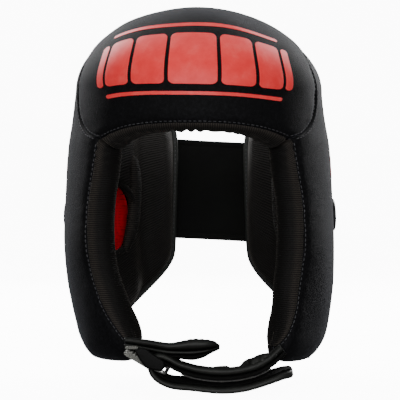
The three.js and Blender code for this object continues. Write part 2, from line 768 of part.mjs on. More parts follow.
// Frames along a strap's route. Its breadth runs front to back, its thickness across the route.
function strapFrames(route, count, breadth, thickness) {
  const curve = new THREE.CatmullRomCurve3(route.map(sharePoint));
  const frames = [];
  for (let i = 0; i <= count; i++) {
    const share = i / count;
    const ahead = curve.getPointAt(Math.min(share + TANGENT_STEP, 1));
    const tangent = ahead.sub(curve.getPointAt(Math.max(share - TANGENT_STEP, 0)));
    const end = Math.sqrt(1 - Math.max(0, 1 - ((1 - share) * curve.getLength()) / (breadth / 2)) ** 2);
    const rounded = STRAP_TIP + (1 - STRAP_TIP) * end;
    const high = new THREE.Vector3(-tangent.z, 0, tangent.x).normalize();
    frames.push({
      at: curve.getPointAt(share),
      wide: new THREE.Vector3(0, (-breadth / 2) * rounded, 0),
      high: high.multiplyScalar((thickness / 2) * Math.min(1, 0.5 + end)),
    });
  }
  return frames;
}

function chinStrap() {
  const frames = strapFrames(STRAP_ROUTE, 38, STRAP_BREADTH, STRAP_THICKNESS);
  frames.forEach((frame, i) => {
    const thinned = THREE.MathUtils.smoothstep(i / (frames.length - 1), STRAP_THINS, STRAP_THINNED);
    frame.high.multiplyScalar(THREE.MathUtils.lerp(1, STRAP_RETURN / STRAP_THICKNESS, thinned));
  });
  return cut(sweepGeometry(frames, ovalOutline(12, 0.55)), sideEnvelope(RIGHT));
}

function chinFlap() {
  const frames = strapFrames(FLAP_ROUTE, 16, STRAP_BREADTH, FLAP_THICKNESS);
  const rows = FLAP_ROUTE.map((row, i) => ({ along: i / (FLAP_ROUTE.length - 1), belly: row.belly }));
  frames.forEach((frame, i) => {
    if (frame.high.z < 0) frame.high.negate();
    frame.belly = FLAP_BELLY * Math.max(0, read(rows, "along", "belly", i / (frames.length - 1)));
  });
  return cut(sweepGeometry(frames, ovalOutline(12, 0.55)), sideEnvelope(LEFT));
}

// An outline seen from the front, carried back from one depth to another.
function plateGeometry(outline, front, back, hole = null) {
  const shape = new THREE.Shape(outline.map(({ x, z }) => new THREE.Vector2(x, z)));
  if (hole) {
    const circle = new THREE.Path();
    circle.absarc(hole.x, hole.z, hole.radius, 0, 2 * Math.PI, true);
    shape.holes.push(circle);
  }
  const settings = { depth: back - front, bevelEnabled: false, curveSegments: 6 };
  const plate = new THREE.ExtrudeGeometry(shape, settings);
  plate.rotateX(Math.PI / 2);
  plate.translate(0, back, 0);
  plate.deleteAttribute("normal");
  plate.deleteAttribute("uv");
  return plate;
}

// A bar's outline with round ends, seen from the front.
function barOutline(from, to, radius) {
  const angle = Math.atan2(to.z - from.z, to.x - from.x);
  const outline = [];
  for (const [end, turn] of [[to, -Math.PI / 2], [from, Math.PI / 2]]) {
    for (let k = 0; k <= 6; k++) {
      const a = angle + turn + (Math.PI * k) / 6;
      outline.push({ x: end.x + radius * Math.cos(a), z: end.z + radius * Math.sin(a) });
    }
  }
  return outline;
}

// The tab from the left chin corner, sewn round the ring's near bar, with its keeper in front.
function ringTab() {
  const [root, near] = [sharePoint(TAB_ROOT), sharePoint(RING_NEAR)];
  const front = root.y - STRAP_BREADTH / 2;
  const back = root.y + STRAP_BREADTH / 2;
  const hole = { x: near.x, z: near.z, radius: RING_WIRE / 2 + GAP };
  const sleeve = plateGeometry(barOutline(root, near, TAB_HALF_THICKNESS), front, back, hole);
  const keeperBack = root.y - RING_LENGTH / 2 - RING_WIRE / 2 - GAP;
  const keeper = plateGeometry(KEEPER_OUTLINE.map(sharePoint), keeperBack - KEEPER_THICKNESS, keeperBack);
  const inner = root.clone().setX(root.x + 2 * GAP);
  const bridge = plateGeometry(barOutline(root, inner, TAB_HALF_THICKNESS - GAP), keeperBack - 1, front + 1);
  return cut(join(join(sleeve, bridge), keeper), sideEnvelope(LEFT));
}

// The stitched webbing end between the flap and the tab.
function flapTab() {
  const root = sharePoint(TAB_ROOT);
  const height = root.z + TAB_HALF_THICKNESS + GAP + TAB_END_THICKNESS / 2;
  const block = new THREE.BoxGeometry(TAB_END_LENGTH, TAB_END_BREADTH, TAB_END_THICKNESS);
  block.translate(TAB_END_ACROSS * HALF_WIDTH, root.y, height);
  return cut(block, sideEnvelope(LEFT));
}

// The rectangular ring between tab and strap.
function chinRing() {
  const [near, far] = [sharePoint(RING_NEAR), sharePoint(RING_FAR)];
  const along = far.clone().sub(near).normalize();
  const across = new THREE.Vector3(0, 1, 0);
  const normal = along.clone().cross(across);
  const middle = near.clone().add(far).divideScalar(2);
  const half = { long: RING_LENGTH / 2, short: near.distanceTo(far) / 2 };
  const frames = [];
  for (const [signLong, signShort, start] of [[1, 1, 0], [1, -1, 90], [-1, -1, 180], [-1, 1, 270]]) {
    const corner = middle.clone()
      .addScaledVector(across, signLong * (half.long - RING_SIDE_CORNER))
      .addScaledVector(along, signShort * (half.short - RING_SIDE_CORNER));
    for (let k = 0; k <= 3; k++) {
      const angle = (start + 30 * k) * DEGREE;
      const out = along.clone().multiplyScalar(Math.cos(angle)).addScaledVector(across, Math.sin(angle));
      frames.push({
        at: corner.clone().addScaledVector(out, RING_SIDE_CORNER),
        wide: out.clone().multiplyScalar(RING_WIRE / 2),
        high: normal.clone().multiplyScalar(RING_WIRE / 2),
      });
    }
  }
  return sweepGeometry(frames, ovalOutline(8, 1), true);
}

const finish = (color, roughness, metalness = 0) =>
  new THREE.MeshStandardMaterial({ color, roughness, metalness });

const guard = new THREE.Group();

function add(name, geometry, color, roughness, metalness) {
  const mesh = new THREE.Mesh(geometry, finish(color, roughness, metalness));
  mesh.name = name;
  guard.add(mesh);
}

add("crown_panel", crownShell(), 0x17181c, 0.85);
add("crown_lining", crownLining(), 0x221d1a, 0.9);
for (const [side, name] of [[LEFT, "left"], [RIGHT, "right"]]) {
  add(`side_panel_${name}`, sideShell(side), 0x17181c, 0.85);
  add(`side_lining_${name}`, sideLining(side), 0x221d1a, 0.9);
  add(`ear_cup_${name}`, earCup(side), 0xa00418, 0.8);
  add(`ear_vent_${name}`, earVent(side), 0x26272b, 0.5);
  add(`rear_binding_${name}`, rearBinding(side), 0x2b2d2b, 0.8);
}
add("rear_strap", rearStrap(), 0x101113, 0.6);
add("chin_flap", chinFlap(), 0x262726, 0.5);
add("flap_tab", flapTab(), 0x6d6d6a, 0.8);
add("ring_tab", ringTab(), 0x4a4a47, 0.6);
add("chin_ring", chinRing(), 0x9a9a98, 0.35);
add("chin_strap", chinStrap(), 0x262726, 0.5);

export default guard;
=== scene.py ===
# A soft padded guard for the head and ears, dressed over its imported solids.
# Blender's frame is in metres, with the wearer facing -Y and +Z up. The working sizes are in millimetres.

import math
from functools import lru_cache
import bpy
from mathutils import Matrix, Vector, noise


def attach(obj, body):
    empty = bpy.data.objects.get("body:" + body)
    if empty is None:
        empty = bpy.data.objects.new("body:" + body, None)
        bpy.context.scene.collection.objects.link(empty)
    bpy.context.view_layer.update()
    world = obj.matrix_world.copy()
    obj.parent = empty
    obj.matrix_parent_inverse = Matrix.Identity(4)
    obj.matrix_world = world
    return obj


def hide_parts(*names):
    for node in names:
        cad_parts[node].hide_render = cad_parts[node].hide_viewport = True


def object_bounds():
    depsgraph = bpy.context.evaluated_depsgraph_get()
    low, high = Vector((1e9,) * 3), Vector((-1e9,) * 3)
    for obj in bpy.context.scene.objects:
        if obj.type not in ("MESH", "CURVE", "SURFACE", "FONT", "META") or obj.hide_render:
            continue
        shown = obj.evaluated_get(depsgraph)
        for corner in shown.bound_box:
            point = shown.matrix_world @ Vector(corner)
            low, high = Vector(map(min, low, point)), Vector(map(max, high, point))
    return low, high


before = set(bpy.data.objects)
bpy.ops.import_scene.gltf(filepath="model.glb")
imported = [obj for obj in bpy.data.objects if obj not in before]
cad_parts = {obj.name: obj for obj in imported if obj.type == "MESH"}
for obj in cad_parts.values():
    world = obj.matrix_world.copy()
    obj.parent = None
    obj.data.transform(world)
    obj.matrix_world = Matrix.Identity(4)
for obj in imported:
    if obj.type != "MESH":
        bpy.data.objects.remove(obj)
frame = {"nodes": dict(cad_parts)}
cad_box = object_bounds()


# The crown pad: one wide cushion from the brow over the top of the head. The real one is foam rubber
# faced with black nylon jersey, moulded to bulge, sewn down both sides and turned in round its edges.
# the sizes that the solids are built to
HALF_WIDTH = 99.5
FRONT_REACH = 108
REAR_REACH = 104
GUARD_DROP = 237
DOME_RISE = 62
SHELL = 11
LINING = 11
EDGE = 2
GAP = 0.3
DOME_BASE = SHELL + LINING - DOME_RISE
# how far in from each edge a pad's face slopes, and how far it drops there
SEAM_REACH = 6
SEAM_DIP = 1.4
BROW_REACH = 10
BROW_DIP = 4.5
HEM_REACH = 21
PUCKER_REACH = 9
CROWN_SWELL = 1.8
BACK_DRAWN = 6
FINE_STEP = 0.002
RIGHT = 1
LEFT = -1
# how far down as a share of the drop, and the outside's share of the half width there
WIDTH_ROWS = [
    (0.169, 0.917), (0.27, 0.942), (0.346, 0.968), (0.5, 0.992), (0.616, 1), (0.747, 0.988),
    (0.823, 0.964), (0.895, 0.93), (1, 0.88),
]
# along from brow to nape, degrees over the head at the middle and at the seam, the seam's share of the width
CROWN_ROWS = [
    (0, -25, -34, 0.687), (0.05, -19, -29, 0.8), (0.12, -10, -18, 0.888), (0.22, 5, 5, 0.936),
    (0.34, 28, 35, 0.905), (0.5, 60, 64, 0.843), (0.64, 90, 90, 0.777), (0.82, 125, 125, 0.719),
    (1, 160, 157, 0.616),
]


def read(rows, column, at):
    """A smooth value from a table's column. The first column is the place."""
    i = 0
    while i < len(rows) - 2 and at > rows[i + 1][0]:
        i += 1

    def tilt(k):
        before, after = rows[max(k - 1, 0)], rows[min(k + 1, len(rows) - 1)]
        return (after[column] - before[column]) / (after[0] - before[0])

    start, end = rows[i], rows[i + 1]
    span = end[0] - start[0]
    t = min(max((at - start[0]) / span, 0), 1)
    rise = end[column] - start[column]
    bend = (1 - t) * tilt(i) - t * tilt(i + 1)
    return start[column] + t * t * (3 - 2 * t) * rise + t * (1 - t) * span * bend


# the half widths are worked out once, down to 1.2 times the guard's drop
WIDTH_STEPS = 400
WIDTH_SPAN = 1.2
HALF_WIDTHS = [HALF_WIDTH * read(WIDTH_ROWS, 1, WIDTH_SPAN * k / WIDTH_STEPS) for k in range(WIDTH_STEPS + 1)]


def half_width(z):
    at = min(max(-z / GUARD_DROP / WIDTH_SPAN * WIDTH_STEPS, 0), WIDTH_STEPS - 0.001)
    k = int(at)
    return HALF_WIDTHS[k] + (at - k) * (HALF_WIDTHS[k + 1] - HALF_WIDTHS[k])


def reach(toward_front):
    return FRONT_REACH if toward_front > 0 else REAR_REACH


def wall_point(turn, up):
    """The guard's plain outside, by the turn round from the front and the way up from the dome's foot."""
    climb = max(up, 0) / DOME_RISE
    z = DOME_BASE + (DOME_RISE * math.sin(climb) if up > 0 else up)
    wide = half_width(min(z, DOME_BASE)) * math.cos(climb)
    deep = reach(math.cos(turn)) * math.cos(climb)
    return Vector((wide * math.sin(turn), -deep * math.cos(turn), z))


def dome_point(lean, pitch):
    """The same outside, by the lean to one side and the pitch over the head."""
    if pitch < 0:
        return wall_point(lean, DOME_RISE * pitch)
    wide = half_width(DOME_BASE) * math.sin(lean)
    deep = reach(math.cos(pitch)) * math.cos(pitch) * math.cos(lean)
    return Vector((wide, -deep, DOME_BASE + DOME_RISE * math.sin(pitch) * math.cos(lean)))


def sink(form, a, b, depth, step_b):
    """The point at a depth below a form, along its normal."""
    across = form(a + FINE_STEP, b) - form(a - FINE_STEP, b)
    up = form(a, b + step_b) - form(a, b - step_b)
    return form(a, b) - across.cross(up).normalized() * depth


def crown_point(place, depth):
    return sink(dome_point, place[0], place[1], depth, FINE_STEP)


def crown_place(share, along):
    """A place on the crown pad: share from seam to seam, along from the brow to the nape."""
    across, middle, seam = (read(CROWN_ROWS, column, along) for column in (3, 1, 2))
    return math.asin(across) * share, math.radians(middle + (seam - middle) * abs(share) ** 3)


def slope(distance, width, dip):
    """How far a pad's face has dropped at a distance from its sewn edge."""
    share = min(max(distance / width, 0), 1)
    return dip * (1 - math.sqrt(1 - (1 - share) ** 2))


def crown_distances(share, along):
    """Distances to the nearer side seam, the brow's edge and the nape's."""
    here = dome_point(*crown_place(share, along))
    edges = ((math.copysign(1, share), along), (share, 0), (share, 1))
    return [(here - dome_point(*crown_place(*edge))).length for edge in edges]


def puckers(point, near_seam):
    """Slight unevenness of a sewn foam pad, in millimetres, deeper close to a seam."""
    broad = noise.noise(point / 34) * 0.7
    tight = noise.noise(Vector((point.x / 9, point.y / 9, point.z / 7)) + Vector((7, 3, 1))) * 0.55
    return broad + tight * near_seam


def crown_face(share, along):
    """How deep the crown pad's face lies below the guard's plain outside."""
    seam, brow, nape = crown_distances(share, along)
    bulge = math.sqrt(max(0, 1 - share ** 4)) * math.sin(math.pi * min(along + 0.12, 1))
    dips = slope(seam, SEAM_REACH, SEAM_DIP) + slope(brow, BROW_REACH, BROW_DIP)
    dips += slope(nape, HEM_REACH, SHELL - EDGE) - CROWN_SWELL * bulge
    near = math.exp(-min(seam, brow) / PUCKER_REACH)
    dips += puckers(dome_point(*crown_place(share, along)), near)
    return min(dips, SHELL - EDGE)


def steps(count, crowd):
    """Shares from 0 to 1, closer together at both ends where the edges round over."""
    even = [i / count for i in range(count + 1)]
    return [e + ((1 - math.cos(math.pi * e)) / 2 - e) * crowd for e in even]


def smoothstep(value, low, high):
    t = min(max((value - low) / (high - low), 0), 1)
    return t * t * (3 - 2 * t)


# across in millimetres, and how far the soft crown has sunk there
SUNK_ROWS = [(-95, 0), (-68, 1.8), (-50, 0.9), (-10, 1.7), (25, 2.5), (60, 4), (85, 3), (97, 0)]


def hung(point):
    """Where the soft guard has settled: the crown sunk to one side, the back drawn to the viewer's right."""
    inside = 1 - smoothstep(abs(point.x), 70, 96)
    drawn = BACK_DRAWN * smoothstep(point.y, 0, 95) * inside
    sunk = read(SUNK_ROWS, 1, point.x) * smoothstep(point.z, -90, -30)
    sunk += (0.05 * (point.x + 45) - 2.2) * smoothstep(point.y, 50, 95) * inside
    return Vector((point.x + drawn, point.y, point.z - sunk))


def mirrored(point, side):
    return Vector((point.x * side, point.y, point.z))


def mesh_object(name, points, faces, uvs=None, smooth=True):
    """A mesh from points in millimetres. uvs holds one pair in metres for each point."""
    mesh = bpy.data.meshes.new(name)
    mesh.from_pydata([hung(p) * 0.001 for p in points], [], faces)
    if uvs:
        layer = mesh.uv_layers.new(name="cloth")
        for loop in mesh.loops:
            layer.data[loop.index].uv = uvs[loop.vertex_index]
    mesh.polygons.foreach_set("use_smooth", [smooth] * len(mesh.polygons))
    mesh.update()
    piece = bpy.data.objects.new(name, mesh)
    bpy.context.scene.collection.objects.link(piece)
    return piece


def turned_out(points, faces):
    """Faces turned so that the closed mesh's inside is inside."""
    volume = 0
    for face in faces:
        for k in range(1, len(face) - 1):
            volume += points[face[0]].dot(points[face[k]].cross(points[face[k + 1]]))
    return faces if volume > 0 else [tuple(reversed(face)) for face in faces]


def pad(name, columns, rows, wall, hole=None, side=RIGHT, uv_row=None, uv_column=None):
    """A closed pad over a grid. wall(u, v) gives its face and its back there, and hole(u, v) is true
    where it's left open. The cloth's layout is measured along one row and one column of the face."""
    nu, nv = len(columns), len(rows)
    under = nu * nv
    face, back = [], []
    for u in columns:
        for v in rows:
            both = wall(u, v)
            face.append(both[0])
            back.append(both[1])
    points = [mirrored(p, side) for p in face + back]
    kept = {}
    for i in range(nu - 1):
        for j in range(nv - 1):
            centre = ((columns[i] + columns[i + 1]) / 2, (rows[j] + rows[j + 1]) / 2)
            if not (hole and hole(*centre)):
                kept[i, j] = True
    faces = []
    for i, j in kept:
        a, b, c, d = i * nv + j, (i + 1) * nv + j, (i + 1) * nv + j + 1, i * nv + j + 1
        faces.append((a, b, c, d))
        faces.append((under + a, under + d, under + c, under + b))
        sides = (((i, j - 1), a, b), ((i + 1, j), b, c), ((i, j + 1), c, d), ((i - 1, j), d, a))
        for neighbour, start, end in sides:
            if neighbour not in kept:
                faces.append((start, under + start, under + end, end))
    row = nv // 2 if uv_row is None else uv_row
    column = nu // 2 if uv_column is None else uv_column
    across, up = [0.0], [0.0]
    for i in range(1, nu):
        across.append(across[-1] + (face[i * nv + row] - face[(i - 1) * nv + row]).length / 1000)
    for j in range(1, nv):
        up.append(up[-1] + (face[column * nv + j] - face[column * nv + j - 1]).length / 1000)
    uvs = [(across[i], up[j]) for i in range(nu) for j in range(nv)] * 2
    return mesh_object(name, points, turned_out(points, faces), uvs)


def linear(code):
    """An sRGB hex colour as linear red, green, blue and alpha."""
    values = [int(code[k:k + 2], 16) / 255 for k in (0, 2, 4)]
    return [v / 12.92 if v <= 0.04045 else ((v + 0.055) / 1.055) ** 2.4 for v in values] + [1]


def node(tree, kind, settings=None, **links):
    """Adds a node. settings holds its properties and socket values, links its input sockets' sources."""
    made = tree.nodes.new(kind)
    for key, value in (settings or {}).items():
        if isinstance(key, int) or key in made.inputs:
            made.inputs[key].default_value = value
        else:
            setattr(made, key, value)
    for key, source in links.items():
        socket = made.inputs[int(key[1:])] if key[0] == "_" else made.inputs[key.replace("_", " ")]
        tree.links.new(source, socket)
    return made


def surface(name, **settings):
    """A material with its shader set, and the shader's tree."""
    material = bpy.data.materials.new(name)
    material.use_nodes = True
    shader = material.node_tree.nodes["Principled BSDF"]
    for key, value in settings.items():
        shader.inputs[key.replace("_", " ")].default_value = value
    return material, material.node_tree, shader


def ramp(tree, source, *stops):
    """A colour ramp from stops of place and hex colour."""
    made = node(tree, "ShaderNodeValToRGB", None, Fac=source)
    elements = made.color_ramp.elements
    while len(elements) < len(stops):
        elements.new(0.5)
    for element, (place, code) in zip(elements, stops):
        element.position = place
        element.color = linear(code)
    return made.outputs["Color"]


def on_object(tree):
    return node(tree, "ShaderNodeTexCoord").outputs["Object"]


def on_cloth(tree):
    return node(tree, "ShaderNodeUVMap", {"uv_map": "cloth"}).outputs["UV"]


def speckle(tree, place, scale, detail=2.0, roughness=0.5):
    settings = {"Scale": scale, "Detail": detail, "Roughness": roughness}
    return node(tree, "ShaderNodeTexNoise", settings, Vector=place).outputs["Fac"]


def cells(tree, place, scale, **settings):
    return node(tree, "ShaderNodeTexVoronoi", {"Scale": scale, **settings}, Vector=place).outputs["Distance"]


def blend(tree, share, first, second):
    settings = {"data_type": "FLOAT", "Factor": share}
    return node(tree, "ShaderNodeMix", settings, A=first, B=second).outputs[0]


def tint(tree, shader, source, *stops):
    tree.links.new(ramp(tree, source, *stops), shader.inputs["Base Color"])


def relief(tree, shader, *bumps):
    """Bumps laid one over another, the broadest first: each a height, a strength and a depth in metres."""
    under = {}
    for height, strength, depth in bumps:
        bump = node(tree, "ShaderNodeBump", {"Strength": strength, "Distance": depth}, Height=height, **under)
        under = {"Normal": bump.outputs["Normal"]}
    tree.links.new(under["Normal"], shader.inputs["Normal"])


# the knit's cells lie 0.9 mm apart, twice the real pitch so that they show
KNIT_SCALE = 1150.0
KNIT_RANDOMNESS = 0.55


def jersey_neoprene():
    """Nylon jersey bonded to foam rubber: a matt black knit with a soft bloom at grazing angles."""
    material, tree, shader = surface(
        "jersey neoprene", Roughness=0.75, IOR=1.4, Specular_IOR_Level=0.18, Sheen_Weight=0.08,
        Sheen_Roughness=0.3, Sheen_Tint=linear("c9ccdc"))
    place = on_object(tree)
    tone = blend(tree, 0.35, speckle(tree, place, 420.0, 3.0, 0.7), speckle(tree, place, 17.0, 4.0))
    tint(tree, shader, tone, (0.34, "030304"), (0.5, "08080a"), (0.66, "141417"))
    relief(tree, shader, (cells(tree, place, KNIT_SCALE, Randomness=KNIT_RANDOMNESS), 0.8, 0.0003))
    return material


neoprene = jersey_neoprene()
crown_columns = [(2 * s - 1) * (1 - GAP / HALF_WIDTH) for s in steps(110, 0.7)]
crown_rows = steps(84, 0.7)
crown_panel = pad("crown_panel_dressed", crown_columns, crown_rows, lambda share, along: (
    crown_point(crown_place(share, along), crown_face(share, along)),
    crown_point(crown_place(share, along), SHELL)))
crown_panel.data.materials.append(neoprene)
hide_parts("crown_panel")
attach(crown_panel, "root")


# The print on the crown: a plain band of red blocks between two thin lines. It is glossy transfer film,
# pressed hot onto the jersey, so it lies a little proud and shines where the knit doesn't.
FILM = 0.2
# each block from seam to seam, the band's reach from the brow up, and the lines below and above it
PRINT_BLOCKS = [
    (-0.685, -0.625), (-0.6, -0.42), (-0.395, -0.175), (-0.15, 0.15), (0.175, 0.395), (0.42, 0.6),
    (0.625, 0.685),
]
PRINT_BAND = (0.19, 0.375)
PRINT_LINES = [(0.142, 0.158), (0.408, 0.424)]
PRINT_LINE_HALF = 0.62
CORNER_STEPS = 24
FILM_RINGS = 12


def transfer_film():
    """Heat-transfer film: smooth red with a broad gloss, and faint paler patches of painted sheen in its
    colour.
    """
    material, tree, shader = surface("red transfer film", Roughness=0.5, IOR=1.5, Specular_IOR_Level=0.4)
    place = on_object(tree)
    # the noise paints random paler, pinker patches into the red: painted sheen for the film's blotchy gloss
    painted_sheen_patches = speckle(tree, place, 90.0, 5.0, 0.65)
    tint(tree, shader, painted_sheen_patches, (0.3, "f42a2e"), (0.52, "fc3a3b"), (0.75, "ff5450"))
    relief(tree, shader, (cells(tree, place, KNIT_SCALE, Randomness=KNIT_RANDOMNESS), 0.2, 0.0002))
    return material


film = transfer_film()


def film_patch(name, low, high, place_at, corner):
    """A thin patch with rounded corners. place_at(a, b, lift) puts it on the cloth."""
    middle = [(low[k] + high[k]) / 2 for k in (0, 1)]
    half = [(high[k] - low[k]) / 2 for k in (0, 1)]
    outline = []
    for quarter, (sx, sy) in enumerate(((1, 1), (-1, 1), (-1, -1), (1, -1))):
        for k in range(CORNER_STEPS + 1):
            angle = (quarter + k / CORNER_STEPS) * math.pi / 2
            outline.append((
                middle[0] + sx * (half[0] - corner[0]) + corner[0] * math.cos(angle),
                middle[1] + sy * (half[1] - corner[1]) + corner[1] * math.sin(angle)))
    full = []
    for k, start in enumerate(outline):
        end = outline[(k + 1) % len(outline)]
        far = max(abs(end[0] - start[0]) / half[0], abs(end[1] - start[1]) / half[1])
        pieces = max(1, int(far * 12))
        for j in range(pieces):
            full.append([start[k] + (end[k] - start[k]) * j / pieces for k in (0, 1)])

    def ring(share, lift):
        return [place_at(middle[0] + (a - middle[0]) * share, middle[1] + (b - middle[1]) * share, lift)
                for a, b in full]

    points = [place_at(middle[0], middle[1], FILM)]
    # the last two rings lie close together, which keeps the film flat up to its thin edge
    for share in [k / (FILM_RINGS - 1) for k in range(1, FILM_RINGS - 1)] + [0.985, 1]:
        points += ring(share, FILM)
    points += ring(1.004, -FILM)
    count = len(full)
    faces = [(0, 1 + k, 1 + (k + 1) % count) for k in range(count)]
    for number in range(FILM_RINGS):
        first = 1 + number * count
        for k in range(count):
            n = (k + 1) % count
            faces.append((first + k, first + count + k, first + count + n, first + n))
    patch = mesh_object(name, points, faces)
    patch.data.materials.append(film)
    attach(patch, "root")


def on_crown(share, along, lift):
    return crown_point(crown_place(share, along), crown_face(share, along) - lift)


for number, (low, high) in enumerate(PRINT_BLOCKS):
    radius = min((high - low) / 2 * 0.98, 0.04)
    film_patch(f"crown_print_block_{number}", (low, PRINT_BAND[0]), (high, PRINT_BAND[1]), on_crown,
               (radius, radius * 0.45))
for number, (low, high) in enumerate(PRINT_LINES):
    film_patch(f"crown_print_line_{number}", (-PRINT_LINE_HALF, low), (PRINT_LINE_HALF, high), on_crown,
               (0.02, (high - low) / 2 * 0.98))


# The side pads: two long cushions over the ears and cheeks, of the same jersey-faced foam rubber.
# Each is joined to the crown by a double row of stitches, and its rear and lower edges are pressed thin.
FACE_REACH = 9
FACE_DIP = 2.6
# moves the side pads to another part of the pucker pattern than the crown's
PUCKER_SHIFT = Vector((50, 0, 0))
EAR_TURN = math.radians(117)
EAR_DOWN = 134
EAR_HALF_LENGTH = 24
EAR_HALF_HEIGHT = 27
EAR_FLOOR = 5
# along the face seam from the chin corner to the brow, how far down, and how far across: shares of
# the drop and of the half width
FACE_ROWS = [
    (0, 0.937, 0.575), (0.1, 0.89, 0.628), (0.2, 0.831, 0.685), (0.31, 0.772, 0.719), (0.46, 0.684, 0.759),
    (0.61, 0.595, 0.772), (0.76, 0.506, 0.761), (0.88, 0.42, 0.725),
]
# along the rear edge from the strap's foot to the crown, how far down, degrees round from the front
REAR_ROWS = [
    (0, 0.641, 158.5), (0.3, 0.464, 159), (0.56, 0.304, 158), (0.72, 0.24, 153.5), (0.86, 0.165, 146),
]
# along the lower edge from the chin corner back to the strap's foot
HEM_ROWS = [
    (0.08, 0.978, 42), (0.18, 0.992, 56), (0.32, 0.99, 75), (0.47, 0.96, 95), (0.62, 0.905, 115),
    (0.77, 0.833, 134), (0.88, 0.762, 149), (0.95, 0.7, 157),
]


def wall_place(point):
    """The turn and the way up of a point on the plain outside."""
    climb = math.asin(min(max((point.z - DOME_BASE) / DOME_RISE, 0), 1))
    turn = math.atan2(point.x / half_width(min(point.z, DOME_BASE)), -point.y / reach(-point.y))
    return turn, (DOME_RISE * climb if point.z > DOME_BASE else point.z - DOME_BASE)


def up_from(down):
    return -down * GUARD_DROP - DOME_BASE


@lru_cache(None)
def seam_place(along):
    return wall_place(dome_point(*crown_place(1, along)))


@lru_cache(None)
def face_place(at):
    corner = dome_point(math.asin(CROWN_ROWS[0][3]), math.radians(CROWN_ROWS[0][2]))
    rows = FACE_ROWS + [(1, -corner.z / GUARD_DROP, CROWN_ROWS[0][3])]
    down, across = read(rows, 1, at), read(rows, 2, at)
    wide = 1 if at == 1 else HALF_WIDTH / half_width(-down * GUARD_DROP)
    return math.asin(across * wide), up_from(down)


def edge_place(rows, first, last, at):
    """A place along an edge's table, which runs between the places of its two corners."""
    table = list(rows)
    if first:
        table.insert(0, (0, -(first[1] + DOME_BASE) / GUARD_DROP, math.degrees(first[0])))
    table.append((1, -(last[1] + DOME_BASE) / GUARD_DROP, math.degrees(last[0])))
    return math.radians(read(table, 2, at)), up_from(read(table, 1, at))


@lru_cache(None)
def rear_place(at):
    return edge_place(REAR_ROWS, None, seam_place(1), at)


@lru_cache(None)
def hem_place(at):
    return edge_place(HEM_ROWS, face_place(0), rear_place(0), at)


def side_place(u, v):
    """A place in a side pad: u from the face to the rear, v from the hem up to the crown's seam."""
    face, rear, hem, seam = face_place(v), rear_place(v), hem_place(u), seam_place(u)
    corners = face_place(0), rear_place(0), face_place(1), rear_place(1)
    return tuple(
        (1 - u) * face[k] + u * rear[k] + (1 - v) * hem[k] + v * seam[k]
        - (1 - u) * (1 - v) * corners[0][k] - u * (1 - v) * corners[1][k]
        - (1 - u) * v * corners[2][k] - u * v * corners[3][k] for k in (0, 1))


def side_point(place, depth):
    return sink(wall_point, place[0], place[1], depth, 0.2)


@lru_cache(None)
def side_edge_point(edge, at):
    place = {"face": face_place, "rear": rear_place, "hem": hem_place, "seam": seam_place}[edge](at)
    return wall_point(*place)


def side_distances(u, v):
    """Distances to the face seam, the rear edge, the hem and the crown's seam."""
    here = wall_point(*side_place(u, v))
    edges = (("face", v), ("rear", v), ("hem", u), ("seam", u))
    return [(here - side_edge_point(edge, at)).length for edge, at in edges]


def ear_share(place):
    """How far out a place lies from the ear opening's middle: 1 at its rim."""
    across = (place[0] - EAR_TURN) * HALF_WIDTH / EAR_HALF_LENGTH
    up = (place[1] + EAR_DOWN + DOME_BASE) / EAR_HALF_HEIGHT
    return math.hypot(across, up)


def side_face(u, v):
    """How deep a side pad's face lies below the guard's plain outside."""
    face, rear, hem, seam = side_distances(u, v)
    dips = slope(face, FACE_REACH, FACE_DIP) + slope(seam, SEAM_REACH, SEAM_DIP)
    dips += slope(rear, HEM_REACH, SHELL - EDGE) + slope(hem, HEM_REACH, SHELL - EDGE)
    near = math.exp(-min(face, seam, hem) / PUCKER_REACH)
    dips += puckers(wall_point(*side_place(u, v)) + PUCKER_SHIFT, near)
    return min(dips, SHELL - EDGE)


def settled(point, side):
    """The worn guard's lower half hangs a little to the viewer's right, most at its inner front edge."""
    drawn = 2.8 * smoothstep(-point.z, 140, 230)
    inner = (1 - smoothstep(point.x, 58, 82)) * smoothstep(-point.y, 0, 50)
    drawn += (6 if side == LEFT else 1.8) * inner * smoothstep(-point.z, 165, 215)
    return Vector((point.x + side * drawn, point.y, point.z))


# the pads' height where it is measured, which turns the gap below the crown's seam into a share of it
side_height = (wall_point(*hem_place(0.3)) - wall_point(*seam_place(0.3))).length
side_columns = steps(84, 0.7)
side_rows = [v * (1 - GAP / side_height) for v in steps(104, 0.7)]
SIDES = ((LEFT, "left"), (RIGHT, "right"))


def side_shell(side):
    """A side pad's face and back, with the back cut away to a thin floor behind the ear."""
    def wall(u, v):
        place = side_place(u, v)
        inside = min(max((1.05 - ear_share(place)) * 12, 0), 1)
        back = SHELL - (SHELL - EAR_FLOOR) * inside
        return (settled(side_point(place, side_face(u, v)), side), settled(side_point(place, back), side))

    return wall


for side, name in SIDES:
    panel = pad(f"side_panel_{name}_dressed", side_columns, side_rows, side_shell(side), side=side)
    panel.data.materials.append(neoprene)
    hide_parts(f"side_panel_{name}")
    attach(panel, "root")


# The side bars: a plain red bar on each side pad above the ear, of the same transfer film as the crown's
# band, pressed on in the same way.
# degrees round from the front and the height, at its front lower and rear upper corners
SIDE_BAR = ((math.radians(84), -104), (math.radians(122), -88))


def on_side(side):
    def place_at(turn, z, lift):
        place = (turn, z - DOME_BASE)
        depth = puckers(wall_point(*place) + PUCKER_SHIFT, 0) - lift
        return mirrored(settled(side_point(place, depth), side), side)

    return place_at


for side, name in SIDES:
    film_patch(f"side_print_{name}", *SIDE_BAR, on_side(side), (math.radians(2), 3))


# The lining: ribbed knit over soft foam inside the guard. It is cut larger than the shell, so round the
# face it rolls out past the seam as a full, soft edge, and it is gathered where brow and side meet.
# how far the roll stands out at the face and at the brow, and what it loses toward chin and corner
ROLL = 11
ROLL_RISE = 9.8
BROW_ROLL = 5.6
ROLL_CHIN_LOSS = 0.8
ROLL_CORNER_LOSS = 0.35
